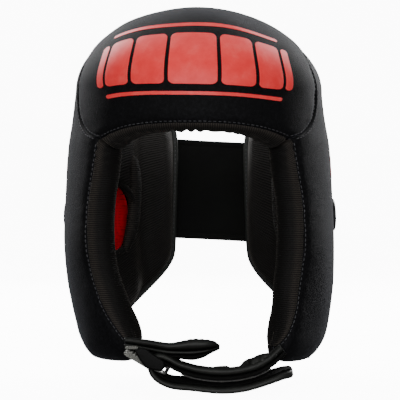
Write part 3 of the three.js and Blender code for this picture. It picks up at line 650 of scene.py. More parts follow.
# along from the face seam to the rear edge, and the lining's share of its full thickness
RELIEF_ROWS = [
    (0, 1), (0.12, 0.93), (0.3, 0.8), (0.55, 0.82), (0.74, 1.25), (0.82, 0.6), (0.91, 1.2), (1, 0.8),
]


def bands(tree, place, direction, pitch, **settings):
    """Even bands at a pitch in metres."""
    all_settings = {"bands_direction": direction, "Scale": 0.3142 / pitch, **settings}
    return node(tree, "ShaderNodeTexWave", all_settings, Vector=place).outputs["Fac"]


def ribbed_lining(direction):
    """Ribbed polyester knit: brown-black, with cords 1.5 mm apart that catch the light along the roll, and a
    painted highlight on the roll's ridge with painted shade toward its edge.
    """
    material, tree, shader = surface(
        f"ribbed lining {direction}", Roughness=0.75, IOR=1.4, Specular_IOR_Level=0.3, Sheen_Weight=0.08,
        Sheen_Roughness=0.35, Sheen_Tint=linear("dcd2c6"))
    cloth, place = on_cloth(tree), on_object(tree)
    ribs = bands(tree, cloth, direction, 0.0015, **{"Distortion": 0.6, "Detail": 1.0, "Detail Scale": 0.3})
    tone = blend(tree, 0.3, ribs, speckle(tree, place, 22.0, 3.0))
    colour = ramp(tree, tone, (0.1, "0d0b0a"), (0.55, "231f1c"), (0.9, "38332e"))
    # painted light and shade: the colour is made pale along the roll's ridge as a painted highlight, and
    # darker toward its tucked edge as painted shade
    across = node(tree, "ShaderNodeSeparateXYZ", None, Vector=cloth).outputs["X" if direction == "Y" else "Y"]
    from_edge = node(tree, "ShaderNodeMath", {"operation": "MULTIPLY", 1: 40.0}, _0=across).outputs[0]
    painted_ridge_light_and_shade = ramp(tree, from_edge, (0.1, "5a5a5a"), (0.26, "787878"), (0.42, "ffffff"), (0.58, "ffffff"),
                 (0.72, "bcbcbc"), (0.95, "8c8c8c"))
    multiply = {"data_type": "RGBA", "blend_type": "MULTIPLY", "Factor": 1.0}
    shaded = node(tree, "ShaderNodeMix", multiply, _6=colour, _7=painted_ridge_light_and_shade)
    tree.links.new(shaded.outputs[2], shader.inputs["Base Color"])
    relief(tree, shader, (ribs, 0.8, 0.0004), (speckle(tree, place, 900.0), 0.25, 0.0002))
    return material


side_ribs = ribbed_lining("Y")
crown_ribs = ribbed_lining("X")


@lru_cache(None)
def seam_drop(v):
    """How much the roll loses near the hem and the crown's seam."""
    _, _, hem, seam = side_distances(0, v)
    return slope(hem, HEM_REACH, LINING - EDGE) + slope(seam, SEAM_REACH, SEAM_DIP)


def roll_place(out, v):
    """A place on the face roll: out from the seam, v from the chin corner up to the brow."""
    turn, up = face_place(v)
    mitre = smoothstep(v, 0.85, 1)
    chin = 1 - smoothstep(v, 0, 0.34)
    width = ROLL * (1 - ROLL_CHIN_LOSS * chin) * (1 - ROLL_CORNER_LOSS * mitre)
    return turn - out * width / HALF_WIDTH, up - out * width * mitre


def roll_depths(out, dips):
    """The depths of the roll's face and back, which round over to its edge."""
    round_off = math.sqrt(max(0, 1 - min(out, 1) ** 2))
    face = SHELL - max(ROLL_RISE * round_off - dips, EDGE / 2)
    back = SHELL + GAP + max(LINING * round_off - dips, EDGE / 2)
    return face, back


def gathers(point, strength):
    """Small folds where the lining is gathered, in millimetres."""
    wave = math.sin(point.z * 1.15 + point.x * 0.5 + 2 * noise.noise(point / 11))
    return strength * (0.55 * wave + 0.5 * noise.noise(point / 5))


def side_lining(side):
    def wall(u, v):
        corner = smoothstep(v, 0.86, 0.97)
        if u < 0:
            place = roll_place(-u, v)
            face, back = roll_depths(-u, seam_drop(v))
            fold = gathers(wall_point(*place), 0.9 * corner + 0.12)
            return (settled(side_point(place, face + fold), side),
                    settled(side_point(place, back + fold * 0.5), side))
        place = side_place(u, v)
        _, rear, hem, seam = side_distances(u, v)
        thick = LINING * read(RELIEF_ROWS, 1, u)
        dips = slope(rear, HEM_REACH, thick - EDGE) + slope(hem, HEM_REACH, LINING - EDGE)
        dips += slope(seam, SEAM_REACH, SEAM_DIP)
        soft = puckers(wall_point(*place) * 1.3, 0.6) + gathers(wall_point(*place), 0.8 * corner * (1 - u))
        back = SHELL + GAP + max(thick - dips + soft, EDGE)
        return (settled(side_point(place, SHELL + GAP), side), settled(side_point(place, back), side))

    return wall


# the roll's rows, from its outer edge to the seam
roll_shares = [
    -1, -0.985, -0.96, -0.92, -0.87, -0.81, -0.74, -0.66, -0.57, -0.47, -0.37, -0.27, -0.17, -0.09, -0.03,
]
# the lining's hole is a little larger than the ear opening, so that its rim covers the stepped edge
HOLE_SHARE = 1.06
for side, name in SIDES:
    lining = pad(f"side_lining_{name}_dressed", roll_shares + side_columns, side_rows, side_lining(side),
                 hole=lambda u, v: u > 0 and ear_share(side_place(u, v)) < HOLE_SHARE, side=side,
                 uv_column=len(roll_shares))
    lining.data.materials.append(side_ribs)
    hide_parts(f"side_lining_{name}")
    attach(lining, "root")


def brow_place(out, share):
    """A place on the brow's roll, which widens to meet the side rolls at its corners."""
    lean, pitch = crown_place(share, 0)
    narrowed = roll_place(out, 1)[0] / roll_place(0, 1)[0]
    corner = ROLL * (1 - ROLL_CORNER_LOSS)
    width = BROW_ROLL + (corner - BROW_ROLL) * share ** 4
    return lean * (1 - (1 - narrowed) * abs(share) ** 3), pitch - out * width / DOME_RISE


def brow_ruffle(out, share):
    """The wavy lower edge of the brow's roll, where its gathering thread pulls."""
    wave = math.sin(share * 46 + 1.5 * math.sin(share * 13))
    return out * out * (0.35 + 0.65 * smoothstep(abs(share + 0.05), 0.35, 0.1)) * wave


def crown_lining(share, along):
    if along < 0:
        face, back = roll_depths(-along, slope(crown_distances(share, 0)[0], SEAM_REACH, SEAM_DIP))
        place = brow_place(-along, share)
        ruffle = brow_ruffle(-along, share)
        corner = smoothstep(abs(share), 0.72, 0.95)
        fold = gathers(dome_point(*place), corner)
        lower = Vector((0, 0, 0.8 * ruffle))
        return (crown_point(place, face + fold + 0.3 * ruffle) + lower,
                crown_point(place, back + fold * 0.5) + lower)
    seam, _, nape = crown_distances(share, along)
    dips = slope(seam, SEAM_REACH, SEAM_DIP) + slope(nape, HEM_REACH, LINING - EDGE)
    place = crown_place(share, along)
    soft = puckers(dome_point(*place) * 1.2, 0.5)
    return (crown_point(place, SHELL + GAP),
            crown_point(place, SHELL + GAP + max(LINING - GAP - dips + soft * 0.6, EDGE)))


brow_columns = [(2 * s - 1) * (1 - GAP / HALF_WIDTH) for s in steps(190, 0.4)]
lining = pad("crown_lining_dressed", brow_columns, roll_shares + steps(60, 0.7), crown_lining, uv_row=0)
lining.data.materials.append(crown_ribs)
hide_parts("crown_lining")
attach(lining, "root")


# The stitching: bonded nylon thread in charcoal grey. Two rows hold each seam between crown and side,
# and a single row holds the lining round the face and under the brow.
THREAD = 0.36
STITCH = 2.5
STITCH_GAP = 0.9
CROWN_INSET = 1.7
SIDE_INSET = 1.5
TRACK_STEPS = 240
# along a stitch, how far its thread lies above the cloth and how full it is: shares of its own length
# and of the thread's radius
STITCH_ROWS = [
    (0, -0.7, 0.4), (0.12, 0.1, 0.8), (0.35, 0.55, 1), (0.65, 0.55, 1), (0.88, 0.1, 0.8), (1, -0.7, 0.4),
]
THREAD_SIDES = 6


def bonded_thread():
    """Bonded nylon thread: smooth twisted filament, a little lighter than the cloth it lies in."""
    material, tree, shader = surface("bonded thread", Roughness=0.6, IOR=1.5, Specular_IOR_Level=0.3)
    tint(tree, shader, speckle(tree, on_object(tree), 700.0), (0.3, "2a2a2e"), (0.7, "464649"))
    return material


thread = bonded_thread()


def stitch_row(name, track, radius=THREAD):
    """A row of sunk stitches along a track of points and outward directions."""
    walked, points, faces, lengths = 0, [], [], [0]
    for (a, _), (b, _) in zip(track, track[1:]):
        lengths.append(lengths[-1] + (b - a).length)

    def on_track(distance):
        k = 0
        while k < len(lengths) - 2 and lengths[k + 1] < distance:
            k += 1
        t = (distance - lengths[k]) / max(lengths[k + 1] - lengths[k], 1e-6)
        return track[k][0].lerp(track[k + 1][0], t), track[k][1].lerp(track[k + 1][1], t).normalized()

    while walked + STITCH < lengths[-1]:
        first = len(points)
        ahead = (on_track(walked + STITCH)[0] - on_track(walked)[0]).normalized()
        for place, lift, size in STITCH_ROWS:
            at, out = on_track(walked + place * STITCH)
            beside = ahead.cross(out).normalized()
            for k in range(THREAD_SIDES):
                angle = k * math.pi / 3
                above = out * radius * (lift + size * math.sin(angle))
                points.append(at + above + beside * radius * size * math.cos(angle))
        for ring in range(len(STITCH_ROWS) - 1):
            for k in range(THREAD_SIDES):
                a = first + ring * THREAD_SIDES + k
                b = first + ring * THREAD_SIDES + (k + 1) % THREAD_SIDES
                faces.append((a, b, b + THREAD_SIDES, a + THREAD_SIDES))
        walked += STITCH + STITCH_GAP
    row = mesh_object(name, points, faces)
    row.data.materials.append(thread)
    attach(row, "root")


def mirror_track(track, side):
    return [(mirrored(point, side), mirrored(out, side)) for point, out in track]


def crown_stop(share, along):
    """A stop on the crown pad's face, with the direction out of it."""
    place, depth = crown_place(share, along), crown_face(share, along)
    return crown_point(place, depth), crown_point(place, depth - 1) - crown_point(place, depth)


def crown_track(inset, side):
    """A track on the crown pad, inset by millimetres from its seam."""
    track = []
    for k in range(TRACK_STEPS + 1):
        along = 0.012 + 0.975 * k / TRACK_STEPS
        seam = dome_point(*crown_place(1, along))
        inner = dome_point(*crown_place(0.9, along))
        track.append(crown_stop(1 - 0.1 * inset / max((seam - inner).length, 1), along))
    return mirror_track(track, side)


def side_track(inset, side, start, end, edge):
    """A track on a side pad, inset from its seam with the crown or with the lining."""
    track = []
    for k in range(TRACK_STEPS + 1):
        at = start + (end - start) * k / TRACK_STEPS
        if edge == "seam":
            far = (wall_point(*seam_place(at)) - wall_point(*side_place(at, 0.9))).length
            u, v = at, 1 - 0.1 * inset / far
        else:
            far = (wall_point(*face_place(at)) - wall_point(*side_place(0.1, at))).length
            u, v = 0.1 * inset / far, at
        place = side_place(u, v)
        depth = side_face(u, v)
        point = settled(side_point(place, depth), side)
        track.append((point, settled(side_point(place, depth - 1), side) - point))
    return mirror_track(track, side)


for side, name in SIDES:
    stitch_row(f"crown_seam_stitches_{name}", crown_track(CROWN_INSET, side))
    stitch_row(f"side_seam_stitches_{name}", side_track(SIDE_INSET, side, 0.012, 0.99, "seam"))
    stitch_row(f"face_seam_stitches_{name}", side_track(SIDE_INSET, side, 0.03, 0.985, "face"))
stitch_row("brow_seam_stitches", [crown_stop(-0.975 + 1.95 * k / 300, 0.0085) for k in range(301)])


# The ear openings: an oval hole through the lining with a soft padded rim, and behind it a recess lined
# with red open-mesh fabric, glued over the foam rubber so that the ear has room and air.
CUP_WALL = 2
# how far apart a section's points are laid out on the cloth, in metres
SECTION_PITCH = 0.0011


def ear_place(size, angle):
    turn = EAR_TURN + size * EAR_HALF_LENGTH * math.cos(angle) / HALF_WIDTH
    return turn, -EAR_DOWN - DOME_BASE + size * EAR_HALF_HEIGHT * math.sin(angle)


def lining_back(place):
    """How deep the lining's inside lies at a place on the wall near the ear."""
    across = (place[0] - face_place(0.5)[0]) / (rear_place(0.5)[0] - face_place(0.5)[0])
    return SHELL + GAP + LINING * read(RELIEF_ROWS, 1, min(max(across, 0), 1))


def rings_mesh(name, rings, closed, uvs=None):
    """Rings of equal length joined one to the next. closed puts a fan over the first and the last."""
    count = len(rings[0])
    points = [p for ring in rings for p in ring]
    faces = []
    for r in range(len(rings) - 1):
        for k in range(count):
            n = (k + 1) % count
            faces.append((r * count + k, r * count + n, (r + 1) * count + n, (r + 1) * count + k))
    for first in (0, (len(rings) - 1) * count) if closed else ():
        hub = len(points)
        points.append(sum((points[first + k] for k in range(count)), Vector()) / count)
        for k in range(count):
            a, b = first + k, first + (k + 1) % count
            faces.append((hub, a, b) if first else (hub, b, a))
    return mesh_object(name, points, turned_out(points, faces), uvs)


def oval(count, squareness):
    """A closed section of half size 1: an ellipse at 1, nearer to a square below it."""
    pairs = []
    for k in range(count):
        angle = 2 * math.pi * k / count
        around = math.cos(angle), math.sin(angle)
        pairs.append(tuple(math.copysign(abs(value) ** squareness, value) for value in around))
    return pairs


def sweep(name, frames, outline):
    """One section carried along frames of middle, half width and half height."""
    rings, uvs, length, last = [], [], 0, None
    for at, wide, high in frames:
        length += (at - last).length / 1000 if last else 0
        last = at
        rings.append([at + wide * a + high * b for a, b in outline])
        uvs += [(k * SECTION_PITCH, length) for k in range(len(outline))]
    return rings_mesh(name, rings, True, uvs + [(0, 0), (0, 0)])


def open_mesh():
    """Polyester spacer mesh: bright red close knit, with rows of tiny pores 2.4 mm apart."""
    material, tree, shader = surface("red spacer mesh", Roughness=0.7, IOR=1.4, Specular_IOR_Level=0.2)
    pores = cells(tree, on_cloth(tree), 415.0, voronoi_dimensions="2D", Randomness=0.12)
    tint(tree, shader, pores, (0.04, "84000f"), (0.16, "b4001c"), (0.7, "cc0228"))
    relief(tree, shader, (pores, 0.4, 0.0003))
    return material


red_mesh = open_mesh()
# along the fold behind the ear from top to bottom, and degrees round from the front
FOLD_ROWS = [(0, 128.5), (0.35, 131), (0.7, 130), (1, 124)]
FOLD_TOP = 84
FOLD_LENGTH = 78
FOLD_HALF_WIDTH = 5.2
FOLD_HALF_HEIGHT = 4.2
AROUND = 72
for side, name in SIDES:
    def at_ear(size, angle, depth):
        return mirrored(settled(side_point(ear_place(size, angle), depth), side), side)

    angles = [2 * math.pi * k / AROUND for k in range(AROUND)]
    floor = EAR_FLOOR + GAP + CUP_WALL
    # the recess from its floor out to its lip, then its outside back again
    profile = [
        (0.2, floor), (0.45, floor), (0.65, floor + 0.2), (0.8, floor + 0.8), (0.9, floor + 2),
        (0.955, floor + 4), (0.975, floor + 6.5), (0.98, floor + 9), (0.985, floor + 11),
        (1.01, floor + 11), (1.01, EAR_FLOOR + GAP), (0.6, EAR_FLOOR + GAP), (0.2, EAR_FLOOR + GAP),
    ]
    cup_uvs = [(EAR_HALF_LENGTH * size * math.cos(a) / 1000, EAR_HALF_HEIGHT * size * math.sin(a) / 1000)
               for size, _ in profile for a in angles]
    cup_rings = [[at_ear(size, a, depth) for a in angles] for size, depth in profile]
    cup = rings_mesh(f"ear_cup_{name}_dressed", cup_rings, True, cup_uvs + [(0, 0), (0, 0)])
    cup.data.materials.append(red_mesh)
    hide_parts(f"ear_cup_{name}")
    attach(cup, "root")

    rings, uvs = [], []
    for k in range(AROUND + 1):
        angle = 2 * math.pi * k / AROUND
        rear = max(0, math.cos(angle)) ** 1.5
        half = 2.4 + 1.8 * rear
        centre_depth = lining_back(ear_place(1.0, angle)) - 1.6 + 1.2 * rear
        ring = []
        for j in range(14):
            tilt = 2 * math.pi * j / 14
            size = 1.03 + half * 0.9 * math.cos(tilt) / EAR_HALF_LENGTH
            ring.append(at_ear(size, angle, centre_depth + half * math.sin(tilt)))
            uvs.append((j * half / 2300, angle * 0.0255))
        rings.append(ring)
    fold_frames = []
    for k in range(61):
        share = k / 60
        up = up_from((FOLD_TOP + FOLD_LENGTH * share) / GUARD_DROP)
        place = (math.radians(read(FOLD_ROWS, 1, share)), up)
        full = math.sqrt(1 - (2 * share - 1) ** 4) + 0.05
        at, beside, above = (settled(side_point(p, lining_back(place) - lower), side) for p, lower in (
            (place, 0.5), ((place[0] + 0.02, place[1]), 0.5), (place, -1)))
        wide = (beside - at).normalized() * FOLD_HALF_WIDTH * full
        high = (above - at).normalized() * FOLD_HALF_HEIGHT * full
        fold_frames.append([mirrored(p, side) for p in (at, wide, high)])
    fold = sweep(f"lining_fold_{name}", fold_frames, oval(24, 1))
    fold.data.materials.append(side_ribs)
    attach(fold, "root")

    rim = rings_mesh(f"ear_rim_{name}", rings, False, uvs)
    rim.data.materials.append(side_ribs)
    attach(rim, "root")


# The ear vents: thin moulded rubber discs outside each ear, with a raised rim and rows of small holes.
VENT_TURN = math.radians(101)
VENT_DOWN = 131
VENT_RADIUS = 12.5
VENT_THICKNESS = 2.6
# each hole's place: a share of the radius out, and degrees round
VENT_HOLES = [(0, 0)] + [(0.36, 60 * k) for k in range(6)] + [(0.62, 30 * k + 15) for k in range(12)]


def moulded_rubber():
    """Injection-moulded rubber: dark grey, satin, with the fine even grain of a spark-eroded mould."""
    material, tree, shader = surface("moulded rubber", Roughness=0.55, IOR=1.5, Specular_IOR_Level=0.35)
    grain = speckle(tree, on_object(tree), 1600.0)
    tint(tree, shader, grain, (0.3, "111215"), (0.7, "1b1c20"))
    relief(tree, shader, (grain, 0.3, 0.0001))
    return material


rubber = moulded_rubber()


def vent_lift(size, angle):
    """The height of the vent's face above the pad, in millimetres."""
    if size > 0.97:
        return VENT_THICKNESS * 0.75
    if size > 0.82:
        return VENT_THICKNESS
    x, y = size * math.cos(angle), size * math.sin(angle)
    lift = VENT_THICKNESS * 0.6
    for ring, turn in VENT_HOLES:
        hole = math.hypot(x - ring * math.cos(math.radians(turn)), y - ring * math.sin(math.radians(turn)))
        lift -= 1.1 * (1 - smoothstep(hole, 0.055, 0.085))
    return max(lift, 0.2)


for side, name in SIDES:
    rings = []
    sizes = [0.02] + [0.03 + 0.73 * k / 30 for k in range(31)]
    sizes += [0.79, 0.82, 0.84, 0.9, 0.95, 0.975, 1.0, 1.0]
    for number, size in enumerate(sizes):
        ring = []
        for k in range(120):
            angle = 2 * math.pi * k / 120
            place = (VENT_TURN + size * VENT_RADIUS * math.cos(angle) / HALF_WIDTH,
                     -VENT_DOWN - DOME_BASE + size * VENT_RADIUS * math.sin(angle))
            lift = GAP if number == len(sizes) - 1 else GAP + vent_lift(size, angle)
            ring.append(mirrored(side_point(place, -lift), side))
        rings.append(ring)
    vent = rings_mesh(f"ear_vent_{name}_dressed", rings, True)
    vent.data.materials.append(rubber)
    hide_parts(f"ear_vent_{name}")
    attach(vent, "root")


# The binding: woven nylon tape folded over the rear edges and the rising hem, and sewn through.
BINDING_WIDTH = 6.6
BINDING_DEPTH = 5
BINDING_START = 0.36
BINDING_END = 0.94


def woven_tape(name, dark, mid, light, pitch):
    """Woven nylon tape: fine cross ribs, slightly shiny."""
    material, tree, shader = surface(name, Roughness=0.65, IOR=1.5, Specular_IOR_Level=0.3)
    cloth = on_cloth(tree)
    ribs, yarns = bands(tree, cloth, "Y", pitch, Distortion=0.3), bands(tree, cloth, "X", pitch * 1.4)
    weave = blend(tree, 0.4, ribs, yarns)
    tint(tree, shader, weave, (0.15, dark), (0.5, mid), (0.85, light))
    relief(tree, shader, (weave, 0.7, 0.0003))
    return material


tape = woven_tape("binding tape", "0a0b0a", "141614", "232622", 0.0011)


for side, name in SIDES:
    depth = SHELL + GAP / 2
    stops = []
    for share in reversed(steps(48, 0.2)):
        v = BINDING_END * share
        stops.append((rear_place(v), side_place(0.85, 0.15 + 0.7 * v)))
    for share in list(reversed(steps(48, 0.2)))[1:]:
        u = BINDING_START + (1 - BINDING_START) * share
        stops.append((hem_place(u), side_place(0.1 + 0.75 * u, 0.2)))
    edges = [settled(side_point(place, depth), side) for place, _ in stops]
    frames = []
    for k, (place, inner) in enumerate(stops):
        through = side_point(place, depth) - side_point(place, depth + 1)
        run = edges[min(k + 1, len(edges) - 1)] - edges[max(k - 1, 0)]
        outward = run.cross(through).normalized()
        if outward.dot(edges[k] - side_point(inner, depth)) < 0:
            outward = -outward
        at = edges[k] + outward * (BINDING_DEPTH / 2 + 2 * GAP - 1.2)
        wide, high = through * (BINDING_WIDTH / 2), outward * (BINDING_DEPTH / 2)
        frames.append([mirrored(p, side) for p in (at, wide, high)])
    binding = sweep(f"rear_binding_{name}_dressed", frames, oval(16, 0.7))
    binding.data.materials.append(tape)
    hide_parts(f"rear_binding_{name}")
    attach(binding, "root")
    inside = [(at - wide * 0.86 - high * 0.15, -wide.normalized()) for at, wide, high in frames[2:-2]]
    stitch_row(f"binding_stitches_{name}", inside, radius=0.35)


# The rear strap: a broad smooth panel across the back of the head, of thin foam rubber between two
# layers of plain nylon, lapped over both side pads, sewn down and edged with a narrow stitched hem.
REAR_STRAP_TOP = 72
REAR_STRAP_HEIGHT = 80
REAR_STRAP_HALF_TURN = 34
REAR_STRAP_THICKNESS = 3
REAR_STRAP_INSETS = (2.5, 5.5)


def plain_nylon():
    """Plain nylon over thin foam: nearly black, smooth and faintly satin, with a close even weave."""
    material, tree, shader = surface("plain nylon", Roughness=0.65, IOR=1.4, Specular_IOR_Level=0.12)
    cloth = on_cloth(tree)
    warp, weft = bands(tree, cloth, "X", 0.0009), bands(tree, cloth, "Y", 0.0009)
    weave = node(tree, "ShaderNodeMath", {"operation": "MULTIPLY"}, _0=warp, _1=weft).outputs[0]
    tint(tree, shader, speckle(tree, on_object(tree), 30.0, 4.0), (0.35, "020202"), (0.7, "050604"))
    relief(tree, shader, (weave, 0.35, 0.0002))
    return material


def strap_wall(turn, v):
    """The rear strap's face and back, with a narrow hem pressed in along both edges."""
    place = (math.radians(turn), -REAR_STRAP_TOP - DOME_BASE - (1 - v) * REAR_STRAP_HEIGHT)
    edge = min(v, 1 - v) * REAR_STRAP_HEIGHT
    rounding = slope(edge, REAR_STRAP_THICKNESS, REAR_STRAP_THICKNESS / 3)
    hem = 0.5 * math.exp(-((edge - 5) / 0.9) ** 2)
    sag = 1.2 * noise.noise(wall_point(*place) / 26)
    return (side_point(place, -GAP - REAR_STRAP_THICKNESS + rounding + hem + sag * 0.3),
            side_point(place, -GAP - hem * 0.5 + sag * 0.2))


strap_columns = [180 + (2 * s - 1) * REAR_STRAP_HALF_TURN for s in steps(60, 0.3)]
rear_strap = pad("rear_strap_dressed", strap_columns, steps(64, 0.5), strap_wall)
rear_strap.data.materials.append(plain_nylon())
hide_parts("rear_strap")
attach(rear_strap, "root")
for inset in REAR_STRAP_INSETS:
    for side, name in SIDES:
        track = []
        for k in range(121):
            z = -REAR_STRAP_TOP - 3 - (REAR_STRAP_HEIGHT - 6) * k / 120
            turn = math.radians(180 - REAR_STRAP_HALF_TURN) + inset / REAR_REACH
            place = (turn, z - DOME_BASE)
            out = side_point(place, -10) - side_point(place, -9)
            track.append((side_point(place, -GAP - REAR_STRAP_THICKNESS), out))
        stitch_row(f"rear_strap_stitches_{name}_{inset}", mirror_track(track, side), radius=0.38)


# The chin strap: padded webbing skinned in charcoal leatherette. It leaves the right pad, passes through
# the ring and is folded back under itself, where hook and loop tape holds it. The lining is puckered
# on top, and a piped seam runs along its front edge.
STRAP_BREADTH = 30
STRAP_COUNT = 220
CURVE_STEPS = 16
# share along the strap, whole thickness, the skin's part of it, and how far the back edge is tipped up
STRAP_ROWS = [
    (0, 8.4, 0.66, -1.2), (0.1, 9, 0.66, -1.2), (0.28, 9, 0.66, -1.2), (0.38, 8, 0.66, -1),
    (0.46, 7.4, 0.7, -0.6), (0.54, 6.8, 0.8, 0), (0.6, 6.8, 0.88, 0.6), (0.68, 6.8, 0.9, 1.5),
    (0.85, 7, 0.9, 1.5), (0.94, 7.2, 0.9, 0.6), (1, 7.4, 0.95, 0),
]
# across, front and down, as shares of the half width, the front reach and the drop
STRAP_ROUTE = [
    (0.615, 0.785, 0.934), (0.573, 0.8, 0.9485), (0.522, 0.815, 0.9671), (0.438, 0.833, 0.9861),
    (0.356, 0.843, 0.9958), (0.264, 0.852, 1.0017), (0.173, 0.861, 1.0025), (0.08, 0.861, 0.9995),
    (-0.011, 0.861, 0.9925), (-0.103, 0.852, 0.9805), (-0.17, 0.852, 0.9655), (-0.225, 0.852, 0.9575),
    (-0.264, 0.852, 0.9636), (-0.279, 0.852, 0.981), (-0.266, 0.852, 1.0028), (-0.228, 0.852, 1.0196),
    (-0.178, 0.852, 1.031), (-0.115, 0.852, 1.0385), (-0.011, 0.861, 1.0425), (0.08, 0.861, 1.047),
    (0.173, 0.861, 1.0502), (0.264, 0.852, 1.0495), (0.356, 0.843, 1.0445), (0.448, 0.833, 1.034),
    (0.54, 0.824, 1.0205), (0.622, 0.815, 1.0085), (0.684, 0.806, 1.0035),
]


def wear(tree, shader, source, low, high):
    """Roughness that follows a pattern between two values."""
    worn = node(tree, "ShaderNodeMapRange", {"To Min": low, "To Max": high}, Value=source)
    tree.links.new(worn.outputs["Result"], shader.inputs["Roughness"])


def leatherette(name, dark, mid, light, shine=0.3):
    """Polyurethane leatherette: satin, with a fine pebble grain and a cloudy tone."""
    material, tree, shader = surface(name, Roughness=0.55, IOR=1.45, Specular_IOR_Level=shine)
    place = on_object(tree)
    cloudy = speckle(tree, place, 70.0, 5.0)
    tint(tree, shader, cloudy, (0.3, dark), (0.55, mid), (0.8, light))
    wear(tree, shader, cloudy, 0.44, 0.64)
    pebble = cells(tree, place, 900.0, feature="SMOOTH_F1", Smoothness=0.6)
    relief(tree, shader, (cloudy, 0.25, 0.0008), (pebble, 0.3, 0.0001))
    return material


skin = leatherette("charcoal leatherette", "141513", "1e1f1d", "2c2d2a")


def loop_tape():
    """Brushed nylon loop tape: black, matt, with a short tangled pile."""
    material, tree, shader = surface("loop tape", Roughness=0.9, IOR=1.4, Specular_IOR_Level=0.2)
    pile = speckle(tree, on_object(tree), 850.0, 4.0, 0.8)
    tint(tree, shader, pile, (0.35, "030303"), (0.7, "121211"))
    relief(tree, shader, (pile, 0.8, 0.0006))
    return material


backing = loop_tape()


def route_points(route):
    return [Vector((a * HALF_WIDTH, -f * FRONT_REACH, -d * GUARD_DROP)) for a, f, d in route]


def curve_through(points, count):
    """Evenly spaced points on a smooth curve through the given ones, and the curve's length."""
    fine = []
    for k in range(len(points) - 1):
        p0 = points[k - 1] if k else points[0] * 2 - points[1]
        p1, p2 = points[k], points[k + 1]
        p3 = points[k + 2] if k + 2 < len(points) else p2 * 2 - p1
        for j in range(CURVE_STEPS):
            t = j / CURVE_STEPS
            fine.append(0.5 * (2 * p1 + (p2 - p0) * t + (2 * p0 - 5 * p1 + 4 * p2 - p3) * t * t
                               + (3 * p1 - p0 - 3 * p2 + p3) * t ** 3))
    fine.append(points[-1])
    lengths = [0]
    for a, b in zip(fine, fine[1:]):
        lengths.append(lengths[-1] + (b - a).length)
    even, k = [], 0
    for i in range(count + 1):
        wanted = lengths[-1] * i / count
        while k < len(lengths) - 2 and lengths[k + 1] < wanted:
            k += 1
        even.append(fine[k].lerp(fine[k + 1], (wanted - lengths[k]) / (lengths[k + 1] - lengths[k])))
    return even, lengths[-1]


strap_line, strap_length = curve_through(route_points(STRAP_ROUTE), STRAP_COUNT)
# the strap's frames: middle line, front edge from it, unit direction to its inner side, fullness of its tip
strap_frames = []
for i, at in enumerate(strap_line):
    share = i / STRAP_COUNT
    run = strap_line[min(i + 1, STRAP_COUNT)] - strap_line[max(i - 1, 0)]
    left = (1 - share) * strap_length
    tip = math.sqrt(1 - max(0, 1 - left / (STRAP_BREADTH / 2)) ** 2)
    tilt = read(STRAP_ROWS, 3, share)
    wide = Vector((0, -STRAP_BREADTH / 2, -tilt)) * (0.35 + 0.65 * tip)
    inward = Vector((-run.z, 0, run.x)).normalized()
    strap_frames.append((at + Vector((0, 0, tilt)), wide, inward, min(1, 0.5 + tip)))


def strap_layer(name, is_skin, inset, material, outline):
    """One layer of the strap: the skin on its outer side, or the backing on its inner side."""
    layer = []
    for i, (at, wide, inward, tip) in enumerate(strap_frames):
        share = i / STRAP_COUNT
        whole = read(STRAP_ROWS, 1, share) * tip * (1 + 0.05 * noise.noise(at / 14))
        skin_part = read(STRAP_ROWS, 2, share)
        thick = whole * (skin_part if is_skin else 1 - skin_part)
        shift = (whole - thick) / 2 * (-1 if is_skin else 1)
        narrow = (wide.length - inset) / wide.length
        layer.append((at + inward * shift, wide * narrow, inward * (thick / 2)))
    piece = sweep(name, layer, outline)
    piece.data.materials.append(material)
    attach(piece, "root")
    return piece


strap = strap_layer("chin_strap_dressed", True, 0, skin, oval(36, 0.72))
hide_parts("chin_strap")
strap_layer("chin_strap_backing", False, 0.9, backing, oval(24, 0.5))


def crease(place, sharp):
    """Rounded lobes with sharp creases between them, from 0 to 1."""
    return abs(math.sin(place)) ** sharp


# The strap's puckered lining: soft leatherette that stands up behind the strap's upper run, drawn into
# lobes by the seam below it.
# x and its top edge, in millimetres
PUCKER_ROWS = [
    (6, -236.5), (10, -234.3), (16, -232.8), (22, -232.4), (29.4, -234.2), (34.4, -229.2), (40.8, -226.4),
    (46, -224.2), (51, -223.4), (57.2, -221.6),
]
PUCKER_MIDDLE = -95
PUCKER_COUNT = 120
UPPER_RUN = 120

pucker_frames = []
first_x, last_x = PUCKER_ROWS[0][0], PUCKER_ROWS[-1][0]
for k in range(PUCKER_COUNT + 1):
    x = first_x + (last_x - first_x) * (k / PUCKER_COUNT)
    top = read(PUCKER_ROWS, 1, x) - 0.8
    low = min(strap_frames[:UPPER_RUN], key=lambda frame: abs(frame[0].x - x))[0].z - 1
    lobes = crease(x * 0.24 + 0.5 * math.sin(x * 0.2), 0.5)
    middle = Vector((x, PUCKER_MIDDLE + 1.8 * (1 - lobes) + 0.8 * math.sin(x * 0.9), (top + low) / 2))
    wide, high = Vector((0, -(5.5 + 2.2 * lobes), 0)), Vector((0, 0, max((top - low) / 2, 0.5)))
    pucker_frames.append((middle, wide, high))
puckered = sweep("strap_lining_puckers", pucker_frames, oval(28, 0.8))
puckered.data.materials.append(skin)
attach(puckered, "root")


# The chin flap: a padded leatherette tongue that reaches from the left pad across the chin, above the
# strap. It is two skins joined by a piped seam, with a looser belly of loop tape below.
# seen from the front, in millimetres: x, its top, its piped seam, its underside, its loose belly
FLAP_ROWS = [
    (-47, -213, -217.6, -219.8, 0), (-41.2, -213.6, -218.2, -220.4, 0.5), (-27.7, -215.1, -220, -222.7, 3),
    (-16.8, -216.4, -221.5, -224.2, 3.2), (-9.6, -215.5, -221.8, -224.5, 2.8),
    (-0.6, -214, -221.7, -224.6, 3.4), (6.7, -214.2, -221.2, -223.6, 2.6),
    (12.1, -214.9, -220.6, -222.3, 0.8), (15.5, -216.2, -220, -221.2, 0), (17.9, -218.4, -219.2, -219.6, 0),
]
FLAP_COUNT = 110
# how far its front edge is tipped down
FLAP_TILT = 1.3


